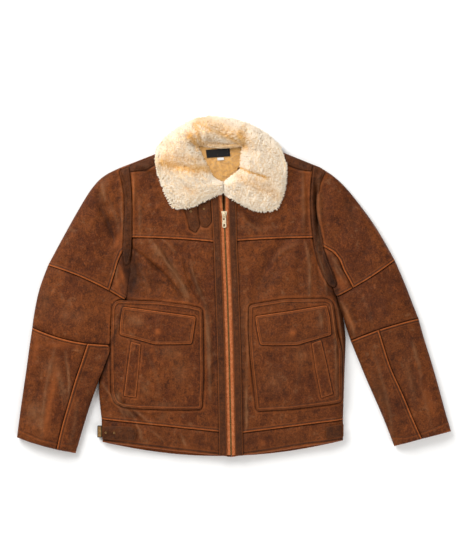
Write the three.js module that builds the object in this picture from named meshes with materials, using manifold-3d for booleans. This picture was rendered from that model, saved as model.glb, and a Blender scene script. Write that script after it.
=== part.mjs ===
import * as THREE from "three";
import { mergeVertices } from "three/addons/utils/BufferGeometryUtils.js";
import Module from "manifold-3d";

// A shearling coat laid flat on its back, zipped up, in millimetres.
// Its hem points to -Y, its collar to +Y, and it rests on z = 0.
// Left and right are the wearer's, so the right side lies at -X.

const wasm = await Module();
wasm.setup();

const seamGap = 0.3;
const restGap = 0.45;
const backThickness = 11;
const frontBottom = backThickness + seamGap;
const bodyHeight = 25;
const foldHeight = 13.6;
const foldWidth = 24;
const hemHeight = 18;
const hemWidth = 9;
const seamDip = 2.4;
const seamDipWidth = 6;
const undersideRadius = 11;
const undersideFoldLift = 7;
const undersideHemLift = 4;
const curveTension = 0.42;

const ledgeHeight = 20;
const ledgeWidth = 8.4;
const ledgeStep = 0.6;
const zipTop = 214;
const zipEnd = -378;
const chainHalfWidth = 1.9;
const tapeThickness = 2.8;
const chainThickness = 3.4;
const placketWidth = 17;
const placketThickness = 2.2;
const strapThickness = 2.4;
const pocketThickness = 4.5;
const flapThickness = 3.6;
const weltThickness = 2;
const tabThickness = 2.6;
const labelThickness = 1;
const furRadius = 15;
const thinnestFur = 9;
const edgeDrop = 10;
const leafEndRadius = 9;

const sliderY = 160;
const sliderWidth = 12.5;
const sliderLength = 15;
const sliderPlate = 2;
const bridgeWidth = 2.4;
const bridgeThickness = 1.6;
const bridgeReach = 5.4;
const pullThickness = 1.6;
const pullWidth = 9.5;
const pullLength = 30;
const pullTilt = -0.07;
const pivotHeight = 1.9;

const leather = { color: 0x6b3e22, roughness: 0.62, metalness: 0 };
const darkLeather = { color: 0x4a3026, roughness: 0.6, metalness: 0 };
const fleece = { color: 0xead8b8, roughness: 0.95, metalness: 0 };
const lining = { color: 0xd9ad68, roughness: 0.95, metalness: 0 };
const copperTape = { color: 0xc8703c, roughness: 0.7, metalness: 0 };
const antiqueBrass = { color: 0x86663c, roughness: 0.4, metalness: 0.9 };
const paleBrass = { color: 0xe0cbb0, roughness: 0.3, metalness: 0.9 };
const blackLabel = { color: 0x141414, roughness: 0.8, metalness: 0 };
const whiteTag = { color: 0xe6e6e2, roughness: 0.8, metalness: 0 };

const coat = new THREE.Group();

// A short table: the first text names the columns, each row is a section.
function table(columns, ...rows) {
  const names = columns.split(" ");
  return rows.map((row) => Object.fromEntries(names.map((name, i) => [name, row[i]])));
}

// The zip's middle line from collar to hem, and half the opening between the front edges.
const zipLine = table(
  "y x gap",
  [222, -24.2, 2.6],
  [190, -23.4, 2.5],
  [168, -22.4, 1.2],
  [158, -22, 0.3],
  [103, -20, 0.3],
  [-31, -14.6, 0.3],
  [-143, -11.2, 0.3],
  [-255, -8.7, 0.3],
  [-384, -6.5, 0.3],
);

// Broad swells and the largest folds, each a soft ridge or trough along a line.
const folds = table(
  "fromX fromY toX toY width height",
  [-334, 190, -356, -99, 52, 8],
  [-356, -99, -418, -335, 46, 8],
  [304, 150, 338, -76, 52, 8],
  [338, -76, 424, -322, 46, 8],
  [-170, -120, -165, -240, 75, 4],
  [140, -110, 140, -230, 75, 4],
  [-211, 94, -108, -29, 13, 5],
  [-205, 60, -130, -32, 11, -3],
  [-110, 54, -74, -38, 9, 4],
  [-226, 66, -224, -10, 12, -5],
  [109, 96, 47, -31, 14, -4],
  [150, 84, 84, -31, 20, 4],
  [174, 92, 190, -9, 8, -3],
  [229, -31, 240, -150, 7, -3],
  [27, -226, 27, -325, 6, -2.5],
  [24, 163, 72, 128, 8, -3],
  [-278, -244, -222, -311, 9, -3],
  [-305, 215, -267, 103, 14, -5],
  [-60, -60, -52, -290, 10, -2],
);

function lerp(a, b, t) {
  return a + (b - a) * t;
}

// A point between rows: a smooth curve through every column.
function sectionAt(rows, s) {
  const place = Math.min(Math.max(s, 0), 1) * (rows.length - 1);
  const i = Math.min(Math.floor(place), rows.length - 2);
  const t = place - i;
  const before = rows[Math.max(i - 1, 0)];
  const after = rows[Math.min(i + 2, rows.length - 1)];
  const section = {};
  for (const name of Object.keys(rows[0])) {
    const a = rows[i][name];
    const b = rows[i + 1][name];
    const startSlope = (b - before[name]) * curveTension;
    const endSlope = (after[name] - a) * curveTension;
    const cubic = 2 * a - 2 * b + startSlope + endSlope;
    const square = 3 * b - 3 * a - 2 * startSlope - endSlope;
    section[name] = ((cubic * t + square) * t + startSlope) * t + a;
  }
  return section;
}

// A section runs from point a to point b, bowed sideways by its bow.
function pointAcross(section, t) {
  const dx = section.bx - section.ax;
  const dy = section.by - section.ay;
  const length = Math.hypot(dx, dy);
  const bow = (section.bow ?? 0) * 4 * t * (1 - t);
  return new THREE.Vector2(
    section.ax + dx * t - (dy / length) * bow,
    section.ay + dy * t + (dx / length) * bow,
  );
}

function zipAt(y) {
  let i = 0;
  while (i < zipLine.length - 2 && y < zipLine[i + 1].y) i++;
  const a = zipLine[i];
  const b = zipLine[i + 1];
  const t = (a.y - y) / (a.y - b.y);
  return { x: lerp(a.x, b.x, t), gap: lerp(a.gap, b.gap, t) };
}

function drape(x, y) {
  let height = bodyHeight;
  for (const fold of folds) {
    const dx = fold.toX - fold.fromX;
    const dy = fold.toY - fold.fromY;
    const length = Math.hypot(dx, dy);
    const along = ((x - fold.fromX) * dx + (y - fold.fromY) * dy) / (length * length);
    const nearest = Math.min(Math.max(along, 0), 1);
    const away = Math.hypot(x - fold.fromX - dx * nearest, y - fold.fromY - dy * nearest);
    height += fold.height * Math.exp(-((away / fold.width) ** 2));
  }
  return height;
}

// How the cloth ends at an edge: where grid lines go, and how its height falls there.
const edges = {
  fold: { lines: [0, 3, 10, foldWidth] },
  hem: { lines: [0, 3, hemWidth] },
  seam: { lines: [seamGap / 2, seamDipWidth] },
  zip: { lines: [0, ledgeWidth, ledgeWidth + ledgeStep, 14] },
  trim: { lines: [0, 2.5] },
  thin: { lines: [0, 0.8] },
  roll: { lines: [0, 5] },
  fur: { lines: [0, 2, 6, furRadius] },
  leafEnd: { lines: [0, 2, 8] },
};

// Grid lines over a length: close ones at both edges, even ones between them.
function gridLines(length, start, end, count) {
  const near = edges[start].lines;
  const far = edges[end].lines;
  const reach = near[near.length - 1] + far[far.length - 1];
  const mostOfLength = 0.85 * length;
  const squeeze = Math.min(1, mostOfLength / reach);
  const head = near.map((d) => (d * squeeze) / length);
  const tail = far.map((d) => 1 - (d * squeeze) / length).reverse();
  const middle = [];
  for (let i = 1; i < count; i++) middle.push(lerp(head[head.length - 1], tail[0], i / count));
  return [...head, ...middle, ...tail];
}

function gridCount(length, start, end, step) {
  const reach = edges[start].lines.at(-1) + edges[end].lines.at(-1);
  return Math.max(1, Math.round((length - reach) / step));
}

function roundOff(d, width) {
  const t = Math.min(d / width, 1);
  return Math.sqrt(1 - (1 - t) ** 2);
}

function fallAtEdge(height, kind, d, low) {
  if (kind === "fold") return Math.min(height, low + (height - low) * roundOff(d, foldWidth));
  if (kind === "hem") {
    return Math.min(height, hemHeight + (height - hemHeight) * roundOff(d, hemWidth));
  }
  if (kind === "seam") return height - seamDip * Math.exp(-((d / seamDipWidth) ** 2) * 2);
  if (kind === "zip" && d < ledgeWidth + ledgeStep / 2) return ledgeHeight;
  return height;
}

// Rows of points over a panel. The edges are named start, end (rows) and a, b (sides).
function panelGrid({ rows, start, end, a, b, step, acrossStep = step, from = 0, to = 1, fit }) {
  const shape = (s) => {
    const section = sectionAt(rows, s);
    if (fit) fit(section);
    const t0 = from === "split" ? section.split : from;
    const t1 = to === "split" ? section.split : to;
    const span = Math.max(pointAcross(section, t0).distanceTo(pointAcross(section, t1)), 1);
    return { section, t0, t1, span, middle: pointAcross(section, 0.5) };
  };
  const samples = (rows.length - 1) * 6;
  const travelled = [0];
  let widest = 0;
  for (let i = 1; i <= samples; i++) {
    const here = shape(i / samples);
    travelled.push(travelled[i - 1] + here.middle.distanceTo(shape((i - 1) / samples).middle));
    widest = Math.max(widest, here.span);
  }
  const length = travelled[samples];
  const placeAt = (distance) => {
    let i = 0;
    while (i < samples - 1 && travelled[i + 1] < distance) i++;
    return (i + (distance - travelled[i]) / (travelled[i + 1] - travelled[i])) / samples;
  };
  const alongLines = gridLines(length, start, end, gridCount(length, start, end, step));
  const acrossCount = gridCount(widest, a, b, acrossStep);
  return alongLines.map((share) => {
    const { section, t0, t1, span } = shape(placeAt(share * length));
    return gridLines(span, a, b, acrossCount).map((t) => {
      const point = pointAcross(section, lerp(t0, t1, t));
      const away = { start: share * length, end: (1 - share) * length, a: t * span, b: (1 - t) * span };
      return { x: point.x, y: point.y, s: share, t, section, away };
    });
  });
}

function heightOver(p, kinds, base) {
  let height = base(p);
  height = fallAtEdge(height, kinds.start, p.away.start, foldHeight);
  height = fallAtEdge(height, kinds.end, p.away.end, foldHeight);
  height = fallAtEdge(height, kinds.a, p.away.a, p.section.az ?? foldHeight);
  return fallAtEdge(height, kinds.b, p.away.b, p.section.bz ?? foldHeight);
}

// A closed solid from a grid with a top and a bottom height at each point.
// A flat bottom needs only its rim, joined across by a ladder of faces.
function solidFromGrid(grid, topOf, bottomOf, flat = false) {
  const n = grid.length;
  const m = grid[0].length;
  const vertices = [];
  const triangles = [];
  const add = (x, y, z) => vertices.push([x, y, z]) - 1;
  const top = grid.map((row) => row.map((p) => add(p.x, p.y, topOf(p))));
  const bottom = grid.map((row, i) =>
    row.map((p, j) => {
      const inner = flat && i > 0 && i < n - 1 && j > 0 && j < m - 1;
      return inner ? -1 : add(p.x, p.y, bottomOf(p));
    }),
  );
  const face = (...corners) => {
    for (let i = 1; i < corners.length - 1; i++) {
      triangles.push([corners[0], corners[i], corners[i + 1]]);
    }
  };
  for (let i = 0; i < n - 1; i++) {
    for (let j = 0; j < m - 1; j++) {
      face(top[i][j], top[i + 1][j], top[i + 1][j + 1], top[i][j + 1]);
      if (!flat) face(bottom[i][j], bottom[i][j + 1], bottom[i + 1][j + 1], bottom[i + 1][j]);
    }
    face(top[i][0], bottom[i][0], bottom[i + 1][0], top[i + 1][0]);
    face(top[i][m - 1], top[i + 1][m - 1], bottom[i + 1][m - 1], bottom[i][m - 1]);
  }
  for (let j = 0; j < m - 1; j++) {
    face(top[0][j], top[0][j + 1], bottom[0][j + 1], bottom[0][j]);
    face(top[n - 1][j], bottom[n - 1][j], bottom[n - 1][j + 1], top[n - 1][j + 1]);
  }
  if (flat) {
    const half = Math.floor(m / 2);
    const cap = (rim, a, b, outward) => {
      const put = (p, q, r) => (outward ? face(p, q, r) : face(p, r, q));
      for (let j = 0; j < m - 1; j++) put(rim[j], rim[j + 1], j < half ? a : b);
      put(rim[half], b, a);
    };
    cap(bottom[0], bottom[1][0], bottom[1][m - 1], true);
    for (let i = 1; i < n - 2; i++) {
      face(bottom[i][0], bottom[i][m - 1], bottom[i + 1][m - 1], bottom[i + 1][0]);
    }
    cap(bottom[n - 1], bottom[n - 2][0], bottom[n - 2][m - 1], false);
  }
  return toSolid(vertices, triangles);
}

// Grids may run either way round, so a solid that comes out inside out is turned.
function toSolid(vertices, triangles) {
  let volume = 0;
  for (const [i, j, k] of triangles) {
    const [a, b, c] = [vertices[i], vertices[j], vertices[k]];
    volume += a[0] * (b[1] * c[2] - b[2] * c[1]) + a[1] * (b[2] * c[0] - b[0] * c[2]) +
      a[2] * (b[0] * c[1] - b[1] * c[0]);
  }
  const turned = volume < 0 ? triangles.map(([i, j, k]) => [i, k, j]) : triangles;
  return new wasm.Manifold(
    new wasm.Mesh({
      numProp: 3,
      vertProperties: new Float32Array(vertices.flat()),
      triVerts: new Uint32Array(turned.flat()),
    }),
  );
}

function solidOf(geometry) {
  const bare = geometry.index ? geometry.toNonIndexed() : geometry.clone();
  bare.deleteAttribute("normal");
  bare.deleteAttribute("uv");
  const merged = mergeVertices(bare, 1e-4);
  return new wasm.Manifold(
    new wasm.Mesh({
      numProp: 3,
      vertProperties: new Float32Array(merged.attributes.position.array),
      triVerts: new Uint32Array(merged.index.array),
    }),
  );
}

// The largest piece of a cut solid; crumbs at the cut's rim are dropped.
function largest(solid) {
  return solid.decompose().reduce((best, piece) => (piece.volume() > best.volume() ? piece : best));
}

// Cuts a solid clear of what lies beside or below it, by shifted copies of the neighbour.
function clearOf(solid, neighbours, shifts) {
  let result = solid;
  for (const neighbour of neighbours) {
    result = result.subtract(neighbour);
    for (const shift of shifts) result = result.subtract(neighbour.translate(shift));
  }
  return largest(result);
}

const up = [0, 0, seamGap];
const towardsRight = [-seamGap, 0, 0];
const towardsLeft = [seamGap, 0, 0];
const towardsCollar = [0, seamGap, 0];

// The highest point of a set of solids above x, y, or null beside them.
function surfaceOf(solids) {
  const cell = 20;
  const cells = new Map();
  const key = (i, j) => `${i},${j}`;
  for (const solid of solids) {
    const mesh = solid.getMesh();
    const corner = (i) => mesh.vertProperties.subarray(i * mesh.numProp, i * mesh.numProp + 3);
    for (let i = 0; i < mesh.triVerts.length; i += 3) {
      const [a, b, c] = [0, 1, 2].map((k) => corner(mesh.triVerts[i + k]));
      const area = (b[0] - a[0]) * (c[1] - a[1]) - (b[1] - a[1]) * (c[0] - a[0]);
      if (area < 1e-6) continue;
      const lowI = Math.floor(Math.min(a[0], b[0], c[0]) / cell);
      const highI = Math.floor(Math.max(a[0], b[0], c[0]) / cell);
      const lowJ = Math.floor(Math.min(a[1], b[1], c[1]) / cell);
      const highJ = Math.floor(Math.max(a[1], b[1], c[1]) / cell);
      for (let p = lowI; p <= highI; p++) {
        for (let q = lowJ; q <= highJ; q++) {
          const name = key(p, q);
          if (!cells.has(name)) cells.set(name, []);
          cells.get(name).push([a, b, c, area]);
        }
      }
    }
  }
  return (x, y) => {
    let best = null;
    for (const [a, b, c, area] of cells.get(key(Math.floor(x / cell), Math.floor(y / cell))) ?? []) {
      const u = ((x - a[0]) * (c[1] - a[1]) - (y - a[1]) * (c[0] - a[0])) / area;
      const v = ((b[0] - a[0]) * (y - a[1]) - (b[1] - a[1]) * (x - a[0])) / area;
      if (u < -1e-4 || v < -1e-4 || u + v > 1.0001) continue;
      const z = a[2] + u * (b[2] - a[2]) + v * (c[2] - a[2]);
      if (best === null || z > best) best = z;
    }
    return best;
  };
}

const solids = {};

function place(name, solid, look) {
  const { vertProperties, triVerts } = solid.getMesh();
  const geometry = new THREE.BufferGeometry();
  geometry.setAttribute("position", new THREE.BufferAttribute(new Float32Array(vertProperties), 3));
  geometry.setIndex(new THREE.BufferAttribute(new Uint32Array(triVerts), 1));
  const mesh = new THREE.Mesh(geometry, new THREE.MeshStandardMaterial(look));
  mesh.name = name;
  coat.add(mesh);
  solids[name] = solid;
}

const panelHeight = (p) => drape(p.x, p.y);

function clothPanel(options, look = panelHeight) {
  return solidFromGrid(panelGrid(options), (p) => heightOver(p, options, look), () => frontBottom, true);
}

// A back panel is flat on top and rounds up from the floor at its folds.
function backSolid(options) {
  const lifts = { fold: undersideFoldLift, hem: undersideHemLift, seam: 0 };
  const height = (p) => {
    let z = 0;
    for (const side of ["start", "end", "a", "b"]) {
      const lift = lifts[options[side]];
      z = Math.max(z, lift * (1 - roundOff(p.away[side], undersideRadius)));
    }
    return z;
  };
  return solidFromGrid(panelGrid(options), height, () => backThickness, true);
}

// The surface widened a little, so that a face passing beside a step clears it too.
function widened(surface) {
  const reach = 1.3;
  const around = [[0, 0], [reach, 0], [-reach, 0], [0, reach], [0, -reach]];
  return (x, y) => {
    const heights = around.map(([dx, dy]) => surface(x + dx, y + dy)).filter((z) => z !== null);
    return heights.length ? Math.max(...heights) : null;
  };
}

// Rests a grid on a surface: its underside is raised until every face of it clears what lies below.
function restOn(grid, exact, open) {
  const surface = widened(exact);
  for (const p of grid.flat()) {
    const below = surface(p.x, p.y);
    p.under = below === null ? open : below + restGap;
  }
  const passes = 8;
  for (let pass = 0; pass < passes; pass++) {
    for (let i = 0; i < grid.length - 1; i++) {
      for (let j = 0; j < grid[0].length - 1; j++) {
        const [a, b, c, d] = [grid[i][j], grid[i + 1][j], grid[i + 1][j + 1], grid[i][j + 1]];
        raiseFace([a, b, c], surface);
        raiseFace([a, c, d], surface);
      }
    }
  }
}

// Each raise lifts the corners nearest the worst place the most.
function raiseFace(corners, surface) {
  const samples = 12;
  let deepest = { depth: 0 };
  for (let p = 0; p <= samples; p++) {
    for (let q = 0; q <= samples - p; q++) {
      const shares = [p / samples, q / samples, (samples - p - q) / samples];
      const mix = (name) => corners.reduce((sum, corner, k) => sum + corner[name] * shares[k], 0);
      const z = surface(mix("x"), mix("y"));
      if (z === null) continue;
      const depth = z + restGap - mix("under");
      if (depth > deepest.depth) deepest = { depth, shares };
    }
  }
  if (deepest.depth <= 0) return;
  const weight = deepest.shares.reduce((sum, share) => sum + share * share, 0);
  corners.forEach((corner, k) => (corner.under += (deepest.depth * deepest.shares[k]) / weight));
}

// What lies on a panel: its grid follows the surface below and keeps clear of it.
function laidOn(options, names, thickness, { edge = 0.5, lift = () => 0 } = {}) {
  const surface = surfaceOf(names.map((name) => solids[name]));
  const grid = panelGrid(options);
  restOn(grid, surface, frontBottom);
  const top = (p) => {
    const rim = Math.min(p.away.start, p.away.end, p.away.a, p.away.b);
    return p.under + thickness * lerp(edge, 1, roundOff(rim, edges.trim.lines[1])) + lift(p);
  };
  return solidFromGrid(grid, top, (p) => p.under);
}

// Back
const backSections = table(
  "ax ay bx by",
  [-107.5, 323.5, 44.5, 325],
  [-166, 300.5, 107.5, 301],
  [-215.5, 281.5, 156.5, 282],
  [-255.5, 266, 193, 267],
  [-238, 224, 180, 224],
  [-233, 181.5, 178.5, 181.5],
  [-233, 110, 186.5, 108.5],
  [-242, 40.5, 210.5, 34],
  [-253.5, -13.5, 227, -13.5],
  [-278, -71.5, 243, -62.5],
  [-296, -148, 250.5, -116.5],
  [-304, -226, 248, -192.5],
  [-297.5, -298.5, 244.5, -299.5],
);
const backHemSections = table(
  "ax ay bx by bow",
  [-297.5, -298.5, 244.5, -299.5, 0],
  [-297, -322.5, 245, -325, 0],
  [-295, -350, 244.5, -346.5, -34],
);
const lowerBack = { start: "seam", end: "hem", a: "fold", b: "fold", step: 30, acrossStep: 60 };
place(
  "back_panel",
  backSolid({ rows: backSections, start: "fold", end: "seam", a: "fold", b: "fold", step: 36, acrossStep: 90 }),
  leather,
);
place("back_hem_band", backSolid({ rows: backHemSections, ...lowerBack }), leather);

// Fronts: a yoke above and a panel below it, each side ending in a ledge for the zip
const fitRight = (section) => {
  const zip = zipAt(section.by);
  section.bx = Math.min(section.bx, zip.x - zip.gap);
};
const fitLeft = (section) => {
  const zip = zipAt(section.ay);
  section.ax = Math.max(section.ax, zip.x + zip.gap);
};
const yokeRightSections = table(
  "ax ay bx by bow",
  [-255.5, 265.5, -107.5, 323, 0],
  [-242, 242, -90, 282, 0],
  [-235.5, 215, -65, 246.5, 0],
  [-233, 186, 0, 208.5, 0],
  [-233, 148, 0, 152.5, 0],
  [-233, 109, 0, 96, 3],
);
const yokeLeftSections = table(
  "ax ay bx by bow",
  [44.5, 324.5, 193, 266.5, 0],
  [26.5, 282, 182.5, 242, 0],
  [8.5, 246.5, 177.5, 213, 0],
  [-50, 207, 178.5, 179, 0],
  [-50, 152.5, 181, 143.5, 0],
  [-50, 99, 186.5, 108.5, 2],
);
const frontRightSections = table(
  "ax ay bx by bow",
  [-233, 109, 0, 96, 3],
  [-239, 69.5, 0, 62.5, 0],
  [-242, 31.5, 0, 24.5, 0],
  [-253.5, -13.5, 0, -20, 0],
  [-278, -71.5, 0, -80.5, 0],
  [-296, -148, 0, -157, 0],
  [-304, -226, 0, -237.5, 0],
  [-297.5, -298.5, 0, -329, 0],
);
const frontLeftSections = table(
  "ax ay bx by bow",
  [-50, 99, 186.5, 108.5, 2],
  [-50, 62.5, 197.5, 69.5, 0],
  [-50, 24.5, 212.5, 31.5, 0],
  [-50, -13.5, 227, -13.5, 0],
  [-50, -65, 243, -62.5, 0],
  [-50, -121, 250.5, -116.5, 0],
  [-50, -192.5, 248, -188, 0],
  [-50, -260, 245.5, -251, 0],
  [-50, -332, 244.5, -299.5, 0],
);
const hemRightSections = table(
  "ax ay bx by bow",
  [-297.5, -298.5, 0, -329, 0],
  [-297, -322.5, 0, -356, 0],
  [-295, -350, 0, -383, -2],
);
const hemLeftSections = table(
  "ax ay bx by bow",
  [-50, -332, 244.5, -299.5, 0],
  [-50, -358.5, 245, -325, 0],
  [-50, -383, 244.5, -346.5, -2],
);
const rightSides = { a: "fold", b: "zip", step: 24, acrossStep: 21, fit: fitRight };
const leftSides = { a: "zip", b: "fold", step: 24, acrossStep: 21, fit: fitLeft };
const yokeRight = { rows: yokeRightSections, ...rightSides, start: "fold", end: "seam", a: "seam" };
const yokeLeft = { rows: yokeLeftSections, ...leftSides, start: "fold", end: "seam", b: "seam" };
place("yoke_right", clothPanel(yokeRight), leather);
place("yoke_left", clothPanel(yokeLeft), leather);
place("front_right", clothPanel({ rows: frontRightSections, ...rightSides, start: "seam", end: "seam" }), leather);
place("front_left", clothPanel({ rows: frontLeftSections, ...leftSides, start: "seam", end: "seam" }), leather);
const hemEnds = { start: "seam", end: "hem" };
place("hem_band_right", clothPanel({ rows: hemRightSections, ...rightSides, ...hemEnds }), leather);
place("hem_band_left", clothPanel({ rows: hemLeftSections, ...leftSides, ...hemEnds }), leather);

const bodyRight = ["yoke_right", "front_right", "hem_band_right"];
const bodyLeft = ["yoke_left", "front_left", "hem_band_left"];

// Fleece of the back, seen in the neck opening
const liningSections = table(
  "ax ay bx by",
  [-85.5, 311.5, 26.5, 313.5],
  [-78.5, 291, 21, 291],
  [-67, 269, 12, 269],
  [-56, 246.5, -2, 246.5],
  [-34, 222, -16, 222],
);
const liningGrid = { rows: liningSections, start: "trim", end: "trim", a: "trim", b: "trim", step: 22 };
const liningTop = 16;
const liningRaw = solidFromGrid(panelGrid(liningGrid), () => liningTop, () => frontBottom, true);
const liningBesideRight = clearOf(liningRaw, [solids.yoke_right], [towardsLeft, towardsCollar]);
place("back_lining", clearOf(liningBesideRight, [solids.yoke_left], [towardsRight, towardsCollar]), lining);

// Pockets with their flaps and slanted side-entry welts
const pocketRightSections = table(
  "ax ay bx by bow",
  [-270, -30, -86, -44, 2],
  [-275, -40.5, -72, -57.5, 0],
  [-276, -121, -70, -132, 0],
  [-276, -222, -69.5, -251, 0],
  [-272, -246.5, -72, -266.5, -1],
  [-258, -265, -85.5, -278, -3],
);
const pocketLeftSections = table(
  "ax ay bx by bow",
  [41, -38, 209.5, -26, 2],
  [30, -56, 222.5, -38, 0],
  [32, -130, 236, -112, 0],
  [39.5, -228.5, 241.5, -224, 0],
  [44.5, -264.5, 241, -250, -1],
  [58, -278.5, 232.5, -262, -2],
);
const flapRightSections = table(
  "ax ay bx by",
  [-250, -46, -85, -67],
  [-253.5, -71.5, -85.5, -87.5],
  [-256.5, -98.5, -88.5, -114],
  [-248, -111, -97, -129],
);
const flapLeftSections = table(
  "ax ay bx by",
  [48, -67, 207, -43],
  [51, -92, 213, -69.5],
  [53.5, -118, 216, -95],
  [64.5, -131.5, 207, -111],
);
const weltRightSections = table(
  "ax ay bx by",
  [-227.5, -133, -209, -137],
  [-234.5, -186, -217, -190],
  [-242, -242, -225, -249.5],
);
const weltLeftSections = table(
  "ax ay bx by",
  [176.5, -137, 197, -130],
  [185, -188, 208, -181.5],
  [195, -249.5, 221.5, -244.5],
);
const trims = { start: "trim", end: "trim", a: "trim", b: "trim" };
const pouch = (p) => 4 * Math.sin(Math.PI * Math.min(p.s, 1)) * Math.sin(Math.PI * p.t);
for (const [side, pocket, flap, welt, front] of [
  ["right", pocketRightSections, flapRightSections, weltRightSections, bodyRight],
  ["left", pocketLeftSections, flapLeftSections, weltLeftSections, bodyLeft],
]) {
  const panel = [front[1]];
  place(
    `pocket_${side}`,
    laidOn({ rows: pocket, ...trims, step: 30, acrossStep: 28 }, panel, pocketThickness, { lift: pouch }),
    leather,
  );
  const below = [...panel, `pocket_${side}`];
  place(
    `pocket_flap_${side}`,
    laidOn({ rows: flap, ...trims, step: 24, acrossStep: 24 }, below, flapThickness),
    leather,
  );
  place(
    `pocket_welt_${side}`,
    laidOn({ rows: welt, ...trims, step: 36, acrossStep: 12 }, [`pocket_${side}`], weltThickness),
    leather,
  );
}

// Zip tapes, chain halves above the slider, and the closed chain below it
function zipStrip(side, from, to, top, bottom) {
  const sign = side === "right" ? -1 : 1;
  const count = Math.max(2, Math.ceil((top - bottom) / 110));
  const rows = [];
  for (let i = 0; i <= count; i++) {
    const y = lerp(top, bottom, i / count);
    const zip = zipAt(y);
    const near = zip.x + sign * (zip.gap + from);
    const far = zip.x + sign * (zip.gap + to);
    rows.push({ ax: Math.min(near, far), ay: y, bx: Math.max(near, far), by: y });
  }
  return rows;
}

const thinSides = { ...trims, a: "thin", b: "thin" };
const tapeGap = 0.4;
const chainBase = ledgeHeight + seamGap;
const chainTop = chainBase + chainThickness;
for (const [side, body, fromFront] of [
  ["right", bodyRight, towardsLeft],
  ["left", bodyLeft, towardsRight],
]) {
  const front = body.map((name) => solids[name]);
  const seat = (solid) => clearOf(solid, front, [up, fromFront]);
  const tape = zipStrip(side, chainHalfWidth + tapeGap, ledgeWidth - seamGap, zipTop, zipEnd);
  const half = zipStrip(side, 0, chainHalfWidth, zipTop, sliderY + sliderLength / 2 + 1.5);
  const stripStart = ledgeWidth + ledgeStep;
  const strip = zipStrip(side, stripStart, stripStart + placketWidth, zipTop, zipEnd - 2);
  const tapeTop = (p) => chainBase + tapeThickness * lerp(0.6, 1, roundOff(Math.min(p.away.a, p.away.b), 2));
  const flatBottom = () => chainBase;
  place(
    `zip_tape_${side}`,
    seat(solidFromGrid(panelGrid({ rows: tape, ...thinSides, step: 110, acrossStep: 6 }), tapeTop, flatBottom)),
    copperTape,
  );
  place(
    `zip_half_${side}`,
    seat(
      solidFromGrid(
        panelGrid({ rows: half, ...thinSides, step: 30, acrossStep: 2 }),
        () => chainTop,
        flatBottom,
      ),
    ),
    antiqueBrass,
  );
  place(
    `placket_strip_${side}`,
    laidOn({ rows: strip, ...trims, step: 32, acrossStep: 14 }, body, placketThickness),
    darkLeather,
  );
}
const chainRows = [];
for (const y of [sliderY + sliderLength / 4, 40, -80, -200, -300, zipEnd]) {
  const x = zipAt(y).x;
  chainRows.push({ ax: x - chainHalfWidth - seamGap, ay: y, bx: x + chainHalfWidth + seamGap, by: y });
}
place(
  "zip_chain",
  solidFromGrid(
    panelGrid({ rows: chainRows, ...thinSides, step: 110, acrossStep: 4 }),
    (p) => chainBase + chainThickness * lerp(0.7, 1, roundOff(Math.min(p.away.a, p.away.b), 1)),
    () => chainBase,
  ),
  antiqueBrass,
);

// Slider with the bridge that holds the pull tab's upper bar
const sliderBase = chainTop + seamGap;
const sliderTop = sliderBase + sliderPlate;
const pivotZ = sliderTop + pivotHeight;
const sliderX = zipAt(sliderY).x;
const shield = new THREE.Shape();
shield.moveTo(-sliderWidth / 2, sliderLength / 2 - 2);
shield.quadraticCurveTo(-sliderWidth / 2, sliderLength / 2, -sliderWidth / 2 + 2.4, sliderLength / 2);
shield.lineTo(sliderWidth / 2 - 2.4, sliderLength / 2);
shield.quadraticCurveTo(sliderWidth / 2, sliderLength / 2, sliderWidth / 2, sliderLength / 2 - 2);
shield.lineTo(sliderWidth * 0.34, -sliderLength / 2 + 2);
shield.quadraticCurveTo(sliderWidth * 0.3, -sliderLength / 2, sliderWidth * 0.12, -sliderLength / 2);
shield.lineTo(-sliderWidth * 0.12, -sliderLength / 2);
shield.quadraticCurveTo(-sliderWidth * 0.3, -sliderLength / 2, -sliderWidth * 0.34, -sliderLength / 2 + 2);
const metalBevel = 0.3;
const bevelled = {
  bevelEnabled: true,
  bevelThickness: metalBevel,
  bevelSize: metalBevel,
  bevelOffset: -metalBevel,
  bevelSegments: 1,
};
const plateDepth = sliderPlate - 2 * metalBevel;
const plate = new THREE.ExtrudeGeometry(shield, { ...bevelled, depth: plateDepth, curveSegments: 3 })
  .translate(0, 0, metalBevel);

const archInner = pivotHeight + pullThickness / 2 + 0.7;
const archOuter = archInner + bridgeThickness;
const archFoot = -0.5;
const arch = new THREE.Shape();
arch.moveTo(-bridgeReach, archFoot);
arch.quadraticCurveTo(-bridgeReach, archOuter, -bridgeReach + 3, archOuter);
arch.lineTo(bridgeReach - 3, archOuter);
arch.quadraticCurveTo(bridgeReach, archOuter, bridgeReach, archFoot);
arch.lineTo(bridgeReach - bridgeThickness, archFoot);
arch.quadraticCurveTo(bridgeReach - bridgeThickness, archInner, bridgeReach - 3, archInner);
arch.lineTo(-bridgeReach + 3, archInner);
arch.quadraticCurveTo(-bridgeReach + bridgeThickness, archInner, -bridgeReach + bridgeThickness, archFoot);
const bridge = new THREE.ExtrudeGeometry(arch, { depth: bridgeWidth, bevelEnabled: false, curveSegments: 5 })
  .translate(0, 0, -bridgeWidth / 2)
  .rotateX(Math.PI / 2)
  .rotateZ(Math.PI / 2)
  .translate(0, 0, sliderPlate);
place("zip_slider", solidOf(plate).add(solidOf(bridge)).translate([sliderX, sliderY, sliderBase]), paleBrass);

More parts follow.
